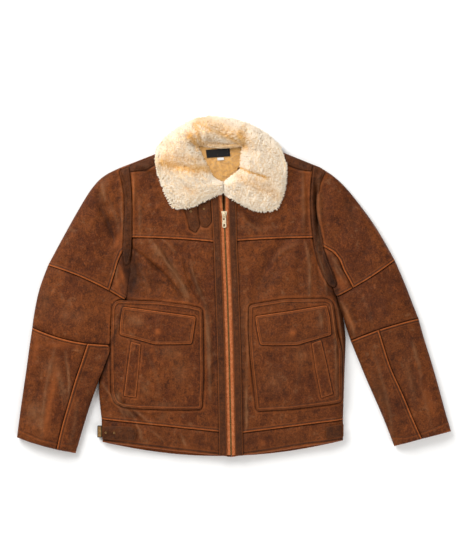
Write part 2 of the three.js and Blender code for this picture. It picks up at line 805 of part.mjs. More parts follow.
// Pull tab: a plate whose window holds the bridge and whose upper bar is the hinge
const pull = new THREE.Shape();
const bar = pullThickness / 2;
const shoulder = pullWidth * 0.42;
pull.moveTo(-shoulder + 1.5, bar);
pull.lineTo(shoulder - 1.5, bar);
pull.quadraticCurveTo(shoulder, bar, shoulder, bar - 1.5);
pull.lineTo(pullWidth / 2, -pullLength + 4);
pull.quadraticCurveTo(pullWidth / 2, -pullLength, 0, -pullLength);
pull.quadraticCurveTo(-pullWidth / 2, -pullLength, -pullWidth / 2, -pullLength + 4);
pull.lineTo(-shoulder, bar - 1.5);
pull.quadraticCurveTo(-shoulder, bar, -shoulder + 1.5, bar);
const pullWindow = new THREE.Path();
const windowHalf = bridgeWidth / 2 + 0.8;
const windowEnd = -7;
pullWindow.moveTo(-windowHalf, -bar);
pullWindow.lineTo(-windowHalf, windowEnd);
pullWindow.lineTo(windowHalf, windowEnd);
pullWindow.lineTo(windowHalf, -bar);
pull.holes.push(pullWindow);
const pullHoleRadius = 2.1;
const pullHoleSides = 12;
const pullHoleY = -pullLength + 6.5;
const pullHole = [];
for (let i = 0; i < pullHoleSides; i++) {
  const angle = (2 * Math.PI * i) / pullHoleSides;
  const x = Math.cos(angle) * pullHoleRadius;
  const y = Math.sin(angle) * pullHoleRadius;
  pullHole.push(new THREE.Vector2(x, pullHoleY + y));
}
pull.holes.push(new THREE.Path(pullHole));
const pullDepth = pullThickness - 2 * metalBevel;
const pullGeometry = new THREE.ExtrudeGeometry(pull, { ...bevelled, depth: pullDepth, curveSegments: 6 })
  .translate(0, 0, -pullDepth / 2)
  .rotateX(-pullTilt)
  .translate(sliderX, sliderY, pivotZ);
place("zip_pull", solidOf(pullGeometry), paleBrass);

// Sleeves: outer edge a, inner edge b, split where the gusset or forearm seam runs
const upperRightSections = table(
  "ax ay bx by bow split az bz",
  [-255.5, 265.5, -240, -11, 16, 0.62, 14, 27],
  [-301, 243, -240, -18, 6, 0.665, 14, 29],
  [-331.5, 201.5, -241, -23.5, 0, 0.734, 14, 31],
  [-376.5, 123, -243, -27.5, 0, 0.765, 14, 33],
  [-417.5, 46.5, -245.5, -31, 7, 0.79, 14, 35],
);
const middleRightSections = table(
  "ax ay bx by bow az bz",
  [-417.5, 46.5, -245.5, -31, 7, 14, 35],
  [-438, -8.5, -251.5, -65, 0, 14, 36],
  [-450.5, -71.5, -263.5, -101, -6, 14, 35],
  [-453, -93, -273.5, -132, -10, 14, 34],
);
const forearmRightSections = table(
  "ax ay bx by bow split az bz",
  [-453, -93, -273.5, -132, -10, 0.71, 14, 34],
  [-460.5, -143.5, -287, -170, -6, 0.7, 14, 29],
  [-467.5, -196, -303.5, -211.5, -3, 0.69, 14, 20],
  [-477, -260, -323, -266.5, 0, 0.69, 14, 14],
  [-484, -312.5, -340.5, -322.5, 0, 0.68, 14, 14],
  [-487.5, -339.5, -355.5, -375, -4, 0.69, 14, 14],
);
const upperLeftSections = table(
  "ax ay bx by bow split az bz",
  [193, 266.5, 226.5, -13.5, -16, 0.63, 14, 26],
  [238, 236, 228, -15.5, 0, 0.665, 14, 25],
  [279.5, 185.5, 229, -18, 0, 0.72, 14, 24],
  [318, 133.5, 231, -20, 0, 0.74, 14, 23],
  [360.5, 58, 233, -22.5, 3, 0.75, 14, 22],
);
const middleLeftSections = table(
  "ax ay bx by bow az bz",
  [360.5, 58, 233, -22.5, 3, 14, 22],
  [383, 6.5, 239.5, -49.5, 0, 14, 18],
  [406, -54, 250.5, -89.5, -3, 14, 15],
  [414, -73, 261.5, -123, -5, 14, 14],
);
const forearmLeftSections = table(
  "ax ay bx by bow split az bz",
  [414, -73, 261.5, -123, -5, 0.59, 14, 14],
  [425.5, -116, 276.5, -159, -3, 0.6, 14, 14],
  [439.5, -159.5, 295.5, -206, -2, 0.61, 14, 14],
  [457.5, -221, 322.5, -266.5, 0, 0.58, 14, 14],
  [473.5, -280.5, 340.5, -309, 0, 0.56, 14, 14],
  [487, -326, 359.5, -359.5, 0, 0.52, 14, 14],
);
for (const [side, upper, middle, forearm, body, away] of [
  ["right", upperRightSections, middleRightSections, forearmRightSections, bodyRight, towardsRight],
  ["left", upperLeftSections, middleLeftSections, forearmLeftSections, bodyLeft, towardsLeft],
]) {
  const size = { step: 24, acrossStep: 24 };
  const fronts = body.map((name) => solids[name]);
  const backs = [solids.back_panel, solids.back_hem_band];
  const clear = (solid) => clearOf(solid, fronts, [up, away]);
  const clearOfPocket = (solid) =>
    clearOf(clear(solid), [solids[`pocket_${side}`], solids[`pocket_flap_${side}`]], [up]);
  const seams = { start: "seam", end: "seam", a: "seam", b: "seam" };
  const outer = { ...seams, ...size, a: "fold", to: "split" };
  const inner = { ...seams, ...size, b: "fold", from: "split" };
  place(`sleeve_upper_${side}`, clear(clothPanel({ ...outer, rows: upper })), leather);
  place(`sleeve_gusset_${side}`, clearOfPocket(clothPanel({ ...inner, rows: upper })), leather);
  const tube = { ...seams, ...size, a: "fold", b: "fold" };
  place(`sleeve_middle_${side}`, clearOfPocket(clothPanel({ ...tube, rows: middle })), leather);
  place(`forearm_outer_${side}`, clothPanel({ ...outer, rows: forearm, end: "hem" }), leather);
  place(`forearm_inner_${side}`, clearOfPocket(clothPanel({ ...inner, rows: forearm, end: "hem" })), leather);
  const sections = [...upper, ...middle.slice(1), ...forearm.slice(1)];
  const whole = sections.map(({ ax, ay, bx, by, bow }) => ({ ax, ay, bx, by, bow }));
  const back = backSolid({ ...tube, rows: whole, end: "hem", step: 40, acrossStep: 60 });
  place(`sleeve_back_${side}`, clearOf(back, backs, [away]), leather);
}

// Darker strips over the armhole and shoulder seams
const strapRightSections = table(
  "ax ay bx by",
  [-268, 261, -238, 271.5],
  [-258, 246.5, -233, 253],
  [-247.5, 226, -227.5, 230.5],
  [-244, 197, -224, 197],
  [-243.5, 152.5, -224, 152.5],
  [-244, 110, -224, 110],
  [-248.5, 76, -228.5, 74],
  [-253, 45, -232, 40.5],
  [-252, 22.5, -235.5, 18],
);
const strapLeftSections = table(
  "ax ay bx by",
  [177, 271, 206, 260.5],
  [171, 248.5, 196, 245.5],
  [169.5, 215, 185.5, 215],
  [170.5, 174.5, 186.5, 174.5],
  [173.5, 136.5, 190, 136.5],
  [179, 101, 196, 103],
  [190, 60.5, 209, 67],
  [202.5, 29, 222.5, 36],
  [209, 4, 230, 6],
);
const shoulderRightSections = table(
  "ax ay bx by",
  [-234.5, 272, -230.5, 253.5],
  [-206.5, 283.5, -200.5, 264.5],
  [-177, 294, -171.5, 275.5],
  [-143.5, 307, -138, 289],
);
const shoulderLeftSections = table(
  "ax ay bx by",
  [80.5, 308.5, 76, 290],
  [114, 295.5, 108.5, 276.5],
  [143, 284, 136.5, 265.5],
  [170, 274, 164.5, 257.5],
);
for (const [side, strap, shoulderStrip, body] of [
  ["right", strapRightSections, shoulderRightSections, bodyRight],
  ["left", strapLeftSections, shoulderLeftSections, bodyLeft],
]) {
  const below = [body[0], body[1], `sleeve_upper_${side}`, `sleeve_gusset_${side}`];
  place(
    `armhole_strap_${side}`,
    laidOn({ rows: strap, ...trims, step: 22, acrossStep: 9 }, below, strapThickness),
    darkLeather,
  );
  const raw = laidOn({ rows: shoulderStrip, ...trims, step: 26, acrossStep: 9 }, [body[0]], strapThickness);
  const strapBeside = [solids[`armhole_strap_${side}`]];
  place(`shoulder_strip_${side}`, clearOf(raw, strapBeside, [up, towardsLeft, towardsRight]), darkLeather);
}

// Throat tabs that come out from under the collar
const throatLongSections = table(
  "ax ay bx by",
  [-116.5, 190, -86.5, 199],
  [-109, 163.5, -83.5, 166],
  [-105, 133, -77, 135],
  [-93, 121, -83.5, 121.5],
);
const throatShortSections = table(
  "ax ay bx by",
  [-82, 195, -56.5, 200],
  [-80.5, 170, -54, 174.5],
  [-76, 146.5, -51.5, 144.5],
  [-69, 134.5, -59.5, 136],
);
const throatLong = { rows: throatLongSections, ...trims, step: 26 };
place("throat_tab_long", laidOn(throatLong, ["yoke_right"], tabThickness), darkLeather);
const throatShort = { rows: throatShortSections, ...trims, step: 26 };
const shortTab = laidOn(throatShort, ["yoke_right", "placket_strip_right"], tabThickness);
place("throat_tab_short", clearOf(shortTab, [solids.throat_tab_long], [up, towardsLeft]), darkLeather);

// Tabs on the hem band, and the buckle at the wearer's right side seam
const tabRightSections = table(
  "ax ay bx by",
  [-290, -315, -290, -342],
  [-256, -315, -256, -346],
  [-220, -317, -220, -348],
);
const tabLeftSections = table(
  "ax ay bx by",
  [205.5, -312, 205.5, -338],
  [224, -311, 224, -337],
  [241, -309, 241, -335],
);
for (const [side, rows] of [
  ["right", tabRightSections],
  ["left", tabLeftSections],
]) {
  const tab = laidOn({ rows, ...trims, step: 22, acrossStep: 22 }, [`hem_band_${side}`], tabThickness);
  place(`hem_tab_${side}`, tab, darkLeather);
}

const buckleLength = 26;
const buckleHeight = 18;
const buckleWall = 2.6;
const buckleDepth = 10;
const buckleX = -306.5;
const buckleY = -326.5;
const buckleLift = 1.5;
const buckleCorner = 3;
const frame = new THREE.Shape();
const endX = buckleLength / 2;
const endY = buckleHeight / 2;
frame.moveTo(-endX + buckleCorner, -endY);
frame.lineTo(endX - buckleCorner, -endY);
frame.quadraticCurveTo(endX, -endY, endX, -endY + buckleCorner);
frame.lineTo(endX, endY - buckleCorner);
frame.quadraticCurveTo(endX, endY, endX - buckleCorner, endY);
frame.lineTo(-endX + buckleCorner, endY);
frame.quadraticCurveTo(-endX, endY, -endX, endY - buckleCorner);
frame.lineTo(-endX, -endY + buckleCorner);
frame.quadraticCurveTo(-endX, -endY, -endX + buckleCorner, -endY);
const frameHole = new THREE.Path();
const holeX = endX - buckleWall;
const holeY = endY - buckleWall;
frameHole.moveTo(-holeX, -holeY);
frameHole.lineTo(-holeX, holeY);
frameHole.lineTo(holeX, holeY);
frameHole.lineTo(holeX, -holeY);
frame.holes.push(frameHole);
const buckle = new THREE.ExtrudeGeometry(frame, { depth: buckleDepth, bevelEnabled: false, curveSegments: 4 })
  .rotateX(Math.PI / 2)
  .rotateZ(Math.PI / 2)
  .translate(buckleX, buckleY, endY + buckleLift);
const besideBuckle = ["back_hem_band", "hem_band_right"].map((name) => solids[name]);
place("side_buckle", clearOf(solidOf(buckle), besideBuckle, [towardsRight]), antiqueBrass);

// Neck label and size tag, both bare
const labelSections = table("ax ay bx by", [-63.5, 305, -10, 309], [-61, 287, -8.5, 291]);
const tagSections = table("ax ay bx by", [-38, 287.5, -23.5, 288.3], [-37, 281.5, -22.5, 282.5]);
const crisp = { edge: 0.9 };
const label = laidOn({ rows: labelSections, ...trims, step: 20 }, ["back_lining"], labelThickness, crisp);
place("neck_label", label, blackLabel);
const tag = laidOn({ rows: tagSections, ...trims, step: 20 }, ["back_lining"], labelThickness, crisp);
place("size_tag", clearOf(tag, [solids.neck_label], [[0, -seamGap, 0]]), whiteTag);

// Collar: a ring of sections from its roll (a) to its outer edge (b)
const collarSections = table(
  "ax ay bx by rollZ crestAt crestZ edgeZ",
  [-24.8, 231, -25.8, 208, 33, 0.4, 44, 42],
  [-35, 233, -45, 203, 33, 0.3, 46, 42],
  [-47.5, 239.5, -64, 192.5, 32, 0.25, 48, 42],
  [-54, 252, -94, 178, 31, 0.22, 50, 42],
  [-60, 264, -119, 165, 30, 0.2, 51, 42],
  [-66, 277, -143, 184, 28, 0.2, 52, 42],
  [-73, 291, -157, 216, 26, 0.2, 52, 42],
  [-79, 301, -170.5, 254, 25, 0.24, 52, 40],
  [-83, 309, -179, 287, 22, 0.3, 52, 34],
  [-84, 314, -172.5, 313, 20, 0.36, 52, 26],
  [-80, 315, -155, 337, 19, 0.42, 51, 24],
  [-70, 315, -127, 357, 18, 0.46, 50, 23],
  [-56, 313.5, -94, 376, 18, 0.48, 49, 23],
  [-40, 312, -54, 382.5, 18, 0.48, 48, 23],
  [-24, 312, -13.5, 377.5, 18, 0.48, 48, 23],
  [-8, 312.5, 26.5, 369.5, 18, 0.46, 49, 23],
  [8, 314, 60.5, 351.5, 19, 0.42, 50, 24],
  [17.5, 315, 91.5, 328, 20, 0.36, 51, 26],
  [20.5, 311, 109, 302.5, 22, 0.3, 52, 34],
  [18.5, 300, 115.5, 273.5, 25, 0.24, 52, 40],
  [16.5, 287, 116.5, 246.5, 27, 0.2, 52, 42],
  [15.5, 274, 113, 219, 29, 0.2, 52, 42],
  [14, 262, 105, 185, 31, 0.2, 51, 42],
  [8, 255, 80, 162, 31, 0.2, 51, 42],
  [0, 248.5, 49, 168, 31, 0.22, 50, 42],
  [-8, 242, 16, 182, 32, 0.25, 48, 42],
  [-16, 235, -9, 199, 33, 0.3, 46, 42],
  [-21.5, 231, -21.8, 208, 33, 0.4, 44, 42],
);
const collarGrid = panelGrid({
  rows: collarSections,
  start: "leafEnd",
  end: "leafEnd",
  a: "roll",
  b: "fur",
  step: 24,
  acrossStep: 17,
});
const collarHeight = (p) => {
  const { rollZ, crestAt, crestZ, edgeZ } = p.section;
  const rising = p.t < crestAt;
  const way = rising ? 1 - p.t / crestAt : (p.t - crestAt) / (1 - crestAt);
  const crown = lerp(rising ? rollZ : edgeZ, crestZ, Math.cos((Math.PI / 2) * way));
  const low = edgeZ - edgeDrop;
  const outer = lerp(low, crown, roundOff(p.away.b, furRadius));
  const ends = roundOff(Math.min(p.away.start, p.away.end) + 1, leafEndRadius);
  return lerp(Math.min(low, outer), outer, ends);
};
const beneath = [
  "back_panel",
  "yoke_right",
  "yoke_left",
  "back_lining",
  "placket_strip_right",
  "placket_strip_left",
  "shoulder_strip_right",
  "shoulder_strip_left",
  "throat_tab_long",
  "throat_tab_short",
  "zip_tape_right",
  "zip_tape_left",
  "zip_half_right",
  "zip_half_left",
];
restOn(collarGrid, surfaceOf(beneath.map((name) => solids[name])), 0);
const collarTop = (p) => Math.max(collarHeight(p), p.under + thinnestFur);
const collar = solidFromGrid(collarGrid, collarTop, (p) => p.under);
place("collar", collar, fleece);

export default coat;
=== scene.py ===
import math

import bpy
import numpy as np
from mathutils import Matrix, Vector, kdtree
from mathutils.bvhtree import BVHTree
from mathutils.geometry import delaunay_2d_cdt


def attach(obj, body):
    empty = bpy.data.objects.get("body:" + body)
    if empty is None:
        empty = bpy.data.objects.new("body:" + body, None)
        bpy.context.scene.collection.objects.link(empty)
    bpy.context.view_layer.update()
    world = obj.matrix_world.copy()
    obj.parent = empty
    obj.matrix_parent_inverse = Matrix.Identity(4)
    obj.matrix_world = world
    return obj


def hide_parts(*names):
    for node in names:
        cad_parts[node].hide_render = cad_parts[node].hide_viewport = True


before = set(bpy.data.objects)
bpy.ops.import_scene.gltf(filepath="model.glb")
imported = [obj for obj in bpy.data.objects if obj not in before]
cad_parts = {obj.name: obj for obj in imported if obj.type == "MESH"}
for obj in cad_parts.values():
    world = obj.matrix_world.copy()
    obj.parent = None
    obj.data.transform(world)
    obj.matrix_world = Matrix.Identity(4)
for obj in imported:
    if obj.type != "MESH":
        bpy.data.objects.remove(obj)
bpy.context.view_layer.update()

# The view: straight down on the coat, as it was photographed, from far off with a long lens.
# A point of the photograph, in its pixels, lies at at(u, v) on the coat, in millimetres.
photo_width, photo_height = 460, 552
pixel = 2.24
middle_u = 234.1
middle_v = 286


def at(u, v):
    return (u - middle_u) * pixel, (middle_v - v) * pixel


frame_height = photo_height * pixel / 1000
coat_plane = 0.02
lens = 110
sensor = 36
camera_data = bpy.data.cameras.new("photo_camera")
camera_data.lens = lens
camera_data.sensor_width = sensor
camera_data.clip_end = 50
camera = bpy.data.objects.new("photo_camera", camera_data)
look_x, look_y = at(photo_width / 2, photo_height / 2)
camera.location = (look_x / 1000, look_y / 1000, coat_plane + frame_height * lens / sensor)
bpy.context.scene.collection.objects.link(camera)
bpy.context.scene.camera = camera

# The studio: a pale table in even light, a broad lamp over the collar side and a weaker one opposite.
# Both lamps are aimed at the middle of the coat.
world = bpy.data.worlds.new("studio")
world.use_nodes = True
surround = world.node_tree.nodes["Background"]
surround.inputs["Color"].default_value = (1, 0.99, 0.97, 1)
surround.inputs["Strength"].default_value = 0.42
bpy.context.scene.world = world
bpy.context.scene.view_settings.view_transform = "Standard"
for name, place, size, power in [
    ("key_lamp", (-1.6, 2.1, 2.2), 2.2, 128),
    ("fill_lamp", (1.2, -1.5, 2.0), 2.0, 32),
]:
    lamp = bpy.data.lights.new(name, "AREA")
    lamp.size = size
    lamp.energy = power
    lamp_object = bpy.data.objects.new(name, lamp)
    lamp_object.location = place
    lamp_object.rotation_euler = (-Vector(place)).to_track_quat("-Z", "Y").to_euler()
    bpy.context.scene.collection.objects.link(lamp_object)


class Value:
    """A number in a material, so that shader maths is written as Python's."""

    def __init__(self, finish, socket):
        self.finish = finish
        self.socket = socket

    def maths(self, operation, first, second, clamp=False):
        settings = {"operation": operation, "use_clamp": clamp}
        return self.finish.add("Math", settings, {0: first, 1: second})

    def __add__(self, other):
        return self.maths("ADD", self, other)

    def __radd__(self, other):
        return self.maths("ADD", other, self)

    def __sub__(self, other):
        return self.maths("SUBTRACT", self, other)

    def __rsub__(self, other):
        return self.maths("SUBTRACT", other, self)

    def __mul__(self, other):
        return self.maths("MULTIPLY", self, other)

    def __rmul__(self, other):
        return self.maths("MULTIPLY", other, self)

    def held(self):
        return self.maths("ADD", self, 0, clamp=True)

    def between(self, low, high):
        """0 below low, 1 above high and a smooth rise between them."""
        settings = {"interpolation_type": "SMOOTHSTEP"}
        return self.finish.add("MapRange", settings, {"Value": self, 1: low, 2: high, 3: 0, 4: 1})


class Finish:
    """A material in the making. Each node is added by its type, its settings and its sockets."""

    def __init__(self, name, **fixed):
        self.material = bpy.data.materials.new(name)
        self.material.use_nodes = True
        self.tree = self.material.node_tree
        self.shader = self.tree.nodes["Principled BSDF"]
        for socket, value in fixed.items():
            self.shader.inputs[socket.replace("_", " ")].default_value = value

    def add(self, kind, settings, sockets, output=0):
        node = self.tree.nodes.new("ShaderNode" + kind)
        for name, value in settings.items():
            setattr(node, name, value)
        for key, value in sockets.items():
            self.feed(node.inputs[key], value)
        return Value(self, node.outputs[output])

    def feed(self, socket, value):
        if isinstance(value, Value):
            self.tree.links.new(value.socket, socket)
        else:
            socket.default_value = value

    def place(self):
        return self.add("TexCoord", {}, {}, "Object")

    def noise(self, size, detail=3, roughness=0.55, where=None):
        """Cloudy noise from 0 to 1, with its largest patches size metres across."""
        sockets = {"Vector": where or self.place(), "Scale": 1 / size}
        sockets |= {"Detail": detail, "Roughness": roughness}
        return self.add("TexNoise", {}, sockets)

    def cells(self, size):
        return self.add("TexVoronoi", {}, {"Vector": self.place(), "Scale": 1 / size})

    def own(self, name):
        return self.add("Attribute", {"attribute_name": name}, {}, "Fac")

    def mix(self, share, first, second):
        return self.add("Mix", {"data_type": "RGBA"}, {0: share, 6: first, 7: second}, 2)

    def wear(self, colour, roughness, *reliefs):
        """Feeds the shader: each relief is a height, from 0 to 1, and its depth in metres."""
        self.feed(self.shader.inputs["Base Color"], colour)
        self.feed(self.shader.inputs["Roughness"], roughness)
        normal = None
        for height, depth in reliefs:
            sockets = {"Height": height, "Distance": depth}
            if normal:
                sockets["Normal"] = normal
            normal = self.add("Bump", {}, sockets)
        if normal:
            self.feed(self.shader.inputs["Normal"], normal)
        return self.material


def paint(code):
    """A colour as it looks on screen, six hex digits, turned to the renderer's own scale."""
    shares = [int(code[i:i + 2], 16) / 255 for i in (0, 2, 4)]
    return (*[s / 12.92 if s <= 0.04045 else ((s + 0.055) / 1.055) ** 2.4 for s in shares], 1)


table_finish = Finish("pale_table")
table_finish.wear(paint("fbfbfa"), 0.9)
bpy.ops.object.select_all(action="DESELECT")
bpy.ops.mesh.primitive_plane_add(size=12, location=(0, 0, -0.0004))
table = bpy.context.object
table.name = "pale_table"
table.data.materials.append(table_finish.material)


# Leather panels: distressed brown sheepskin with its wool inside, cut as flat panels and sewn with
# lapped seams. Each is made on its solid's form, subdivided, and then creased.
def select(piece):
    """Makes a piece the only one that the next steps work on."""
    bpy.ops.object.select_all(action="DESELECT")
    piece.select_set(True)
    bpy.context.view_layer.objects.active = piece


def copy_of(name, node, levels, sharp=40):
    """A copy of a node with its triangles joined to quads, subdivided with its sharp rims kept."""
    weld = 0.00002
    flat = math.radians(60)
    piece = bpy.data.objects.new(name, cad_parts[node].data.copy())
    piece.data.materials.clear()
    bpy.context.scene.collection.objects.link(piece)
    select(piece)
    bpy.ops.object.mode_set(mode="EDIT")
    bpy.ops.mesh.select_all(action="SELECT")
    bpy.ops.mesh.remove_doubles(threshold=weld)
    bpy.ops.mesh.tris_convert_to_quads(face_threshold=flat, shape_threshold=flat)
    bpy.ops.mesh.select_mode(type="EDGE")
    bpy.ops.mesh.select_all(action="DESELECT")
    bpy.ops.mesh.edges_select_sharp(sharpness=math.radians(sharp))
    bpy.ops.transform.edge_crease(value=1)
    bpy.ops.object.mode_set(mode="OBJECT")
    if levels:
        smooth = piece.modifiers.new("smooth", "SUBSURF")
        smooth.levels = levels
        smooth.render_levels = levels
        bpy.ops.object.modifier_apply(modifier=smooth.name)
    return piece


def points_of(piece):
    """The mesh's points and their normals, in millimetres, as arrays."""
    count = len(piece.data.vertices)
    points = np.empty(count * 3)
    normals = np.empty(count * 3)
    piece.data.vertices.foreach_get("co", points)
    piece.data.vertex_normals.foreach_get("vector", normals)
    return points.reshape(-1, 3) * 1000, normals.reshape(-1, 3)


def shape(piece, points):
    piece.data.vertices.foreach_set("co", (points / 1000).ravel())
    piece.data.update()


def note(piece, **values):
    """Keeps numbers for each point of the mesh, one or as many as its points, for its material."""
    for name, numbers in values.items():
        column = np.zeros(len(piece.data.vertices)) + numbers
        attribute = piece.data.attributes.new(name, "FLOAT", "POINT")
        attribute.data.foreach_set("value", column.astype(np.float32))


def close_points(line, step=1.2):
    """A line's points, set closely, as an array."""
    close = []
    for (ax, ay), (bx, by) in zip(line[:-1], line[1:]):
        count = max(1, math.ceil(math.hypot(bx - ax, by - ay) / step))
        close += [(ax + (bx - ax) * i / count, ay + (by - ay) * i / count) for i in range(count)]
    return np.array(close + [line[-1]])


def outline_of(node):
    """Close points along the rim of a node's upper side, seen from above, to 0.01 mm."""
    fine = 1e5
    facing_up = 0.15
    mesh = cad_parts[node].data
    keys = [tuple(round(c * fine) for c in v.co) for v in mesh.vertices]
    sides = {}
    for face in mesh.polygons:
        upper = face.normal.z > facing_up
        corners = [keys[i] for i in face.vertices]
        for a, b in zip(corners, corners[1:] + corners[:1]):
            sides.setdefault((min(a, b), max(a, b)), []).append(upper)
    pieces = []
    for (a, b), uppers in sides.items():
        if len(set(uppers)) == 2:
            pieces.append(close_points([(x / 100, y / 100) for x, y, _ in (a, b)]))
    return np.concatenate(pieces)


def distance(points, line, most=60.0):
    """How far each point is from the nearest of a line's points, seen from above."""
    if line is None or not len(line):
        return np.full(len(points), most)
    nearest = np.full(len(points), most * most)
    for start in range(0, len(line), 64):
        part = line[start:start + 64]
        dx = points[:, 0:1] - part[None, :, 0]
        dy = points[:, 1:2] - part[None, :, 1]
        nearest = np.minimum(nearest, (dx * dx + dy * dy).min(axis=1))
    return np.sqrt(nearest)


outlines = {name: outline_of(name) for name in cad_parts}

# The shapes of the pieces that are sewn on to the panels: pockets, flaps, welts, straps and tabs.
sewn_shapes = {
    # node: corner radius and thickness in millimetres, then the outline in the photograph's pixels
    "pocket_right": (9, 4.5, [
        (112, 306), (117, 300), (130, 300.5), (160, 301.5), (190, 305.5), (202.5, 308.5), (203, 345),
        (203.5, 375), (202, 409), (185, 409.5), (140, 408.5), (124, 407), (115, 403), (111.5, 393),
        (111, 370), (111, 340),
    ]),
    "pocket_left": (9, 4.5, [
        (249, 305), (285, 299), (327, 298.5), (333, 303), (336.5, 330), (341.5, 350), (342, 401.5),
        (330, 404), (290, 409), (256, 411), (254.5, 395), (250.5, 360), (248.5, 330),
    ]),
    "pocket_flap_right": (5, 3.6, [
        (123, 306.5), (160, 311.5), (196, 316.5), (194, 330), (192, 343.5), (176, 344), (155, 344),
        (137, 339), (120, 334.5), (121, 320),
    ]),
    "pocket_flap_left": (5, 3.6, [
        (255, 316), (290, 311), (326.5, 305), (329.5, 318), (331, 334.5), (312, 340), (297, 344.5),
        (275, 345), (260, 344.5), (257, 330),
    ]),
    "pocket_welt_right": (1, 1.8, [
        (131.5, 341.5), (141, 344), (138.5, 375), (136, 397), (124.3, 395.5), (127.5, 370),
    ]),
    "pocket_welt_left": (1, 1.8, [
        (311.5, 343), (320.5, 340), (326, 363), (332.5, 393.5), (321, 397.5), (315.5, 370),
    ]),
    "armhole_strap_right": (4, 2.2, [
        (119.5, 171), (129, 167), (131, 185), (131.8, 205), (131.8, 235), (131.2, 252), (129, 263),
        (125, 266), (123, 255), (124, 235), (125, 212), (124.5, 195), (122.5, 182),
    ]),
    "armhole_strap_left": (4, 2.2, [
        (313.5, 166), (325.5, 170.5), (320.5, 182), (318, 195), (318.4, 212), (321.2, 232),
        (323.5, 250), (328, 263), (333, 274), (336.5, 284), (334, 288), (329, 285), (323, 275),
        (318, 262), (314, 245), (311.5, 222), (310.6, 200), (311.5, 183),
    ]),
    "shoulder_strip_right": (2, 2.0, [
        (130.5, 165.8), (141, 161), (155, 156), (155, 164.5), (146, 170), (139, 170.5), (130, 171.5),
    ]),
    "shoulder_strip_left": (2, 2.0, [
        (286, 155), (298, 159), (312, 164.5), (311, 171), (300, 169.5), (292, 166.5), (286, 163.5),
    ]),
    "throat_tab_long": (1.2, 2.2, [
        (182.5, 203), (196, 199.5), (197.6, 214), (199.6, 226), (195.5, 232.2), (190, 229), (187, 216),
    ]),
    "throat_tab_short": (5, 2.2, [
        (198, 200), (209.8, 197), (210.8, 212), (211.2, 222), (207, 227.5), (201, 226), (199.4, 216),
    ]),
    "hem_tab_right": (3, 2.0, [
        (102.5, 426), (118, 425.5), (135, 426.5), (137, 433), (135, 440.5), (118, 440), (102.5, 439),
    ]),
    "hem_tab_left": (2, 2.0, [
        (325.5, 426.5), (335, 424.5), (343.5, 423.5), (343.5, 436.5), (335, 437.5), (325.5, 438),
    ]),
}


def rounded(corners, radius):
    """A closed outline with its corners rounded, in even steps."""
    line = []
    for i, corner in enumerate(corners):
        before, after = np.array(corners[i - 1]), np.array(corners[(i + 1) % len(corners)])
        corner = np.array(corner)
        to_before, to_after = before - corner, after - corner
        far_before, far_after = np.linalg.norm(to_before), np.linalg.norm(to_after)
        start = corner + to_before / far_before * min(radius, 0.45 * far_before)
        end = corner + to_after / far_after * min(radius, 0.45 * far_after)
        for t in np.linspace(0, 1, 6):
            line.append((1 - t) ** 2 * start + 2 * t * (1 - t) * corner + t ** 2 * end)
    return even(np.array(line + [line[0]]), 2.2)[:-1]


def even(line, step):
    """The same line with its points evenly spaced."""
    run = np.concatenate([[0], np.cumsum(np.linalg.norm(np.diff(line, axis=0), axis=1))])
    count = max(2, round(run[-1] / step) + 1)
    places = np.linspace(0, run[-1], count)
    return np.stack([np.interp(places, run, line[:, 0]), np.interp(places, run, line[:, 1])], axis=1)


loops = {
    node: rounded([at(u, v) for u, v in corners], radius)
    for node, (radius, _, corners) in sewn_shapes.items()
}
on_pockets = ("pocket_flap", "pocket_welt")
elsewhere = (*on_pockets, "hem_tab")
on_panels = np.concatenate([
    even(loop, 0.8) for node, loop in loops.items() if not node.startswith(elsewhere)
])

# Seams: the first piece of each pair laps over the second.
seams = [
    (f"{upper}_{side}", f"{lower}_{side}")
    for side in ("right", "left")
    for upper, lower in [
        ("yoke", "front"),
        ("front", "hem_band"),
        ("sleeve_upper", "sleeve_middle"),
        ("sleeve_gusset", "sleeve_middle"),
        ("sleeve_upper", "sleeve_gusset"),
        ("forearm_outer", "sleeve_middle"),
        ("forearm_inner", "sleeve_middle"),
        ("forearm_inner", "forearm_outer"),
    ]
]
meeting = 1.8


def shared_rim(upper, lower):
    """The points of one piece's rim that meet the other's."""
    return outlines[upper][distance(outlines[upper], outlines[lower]) < meeting]


over = {}
under = {}
for upper, lower in seams:
    over.setdefault(upper, []).append(shared_rim(upper, lower))
    under.setdefault(lower, []).append(shared_rim(upper, lower))
over = {name: np.concatenate(lines) for name, lines in over.items()}
under = {name: np.concatenate(lines) for name, lines in under.items()}

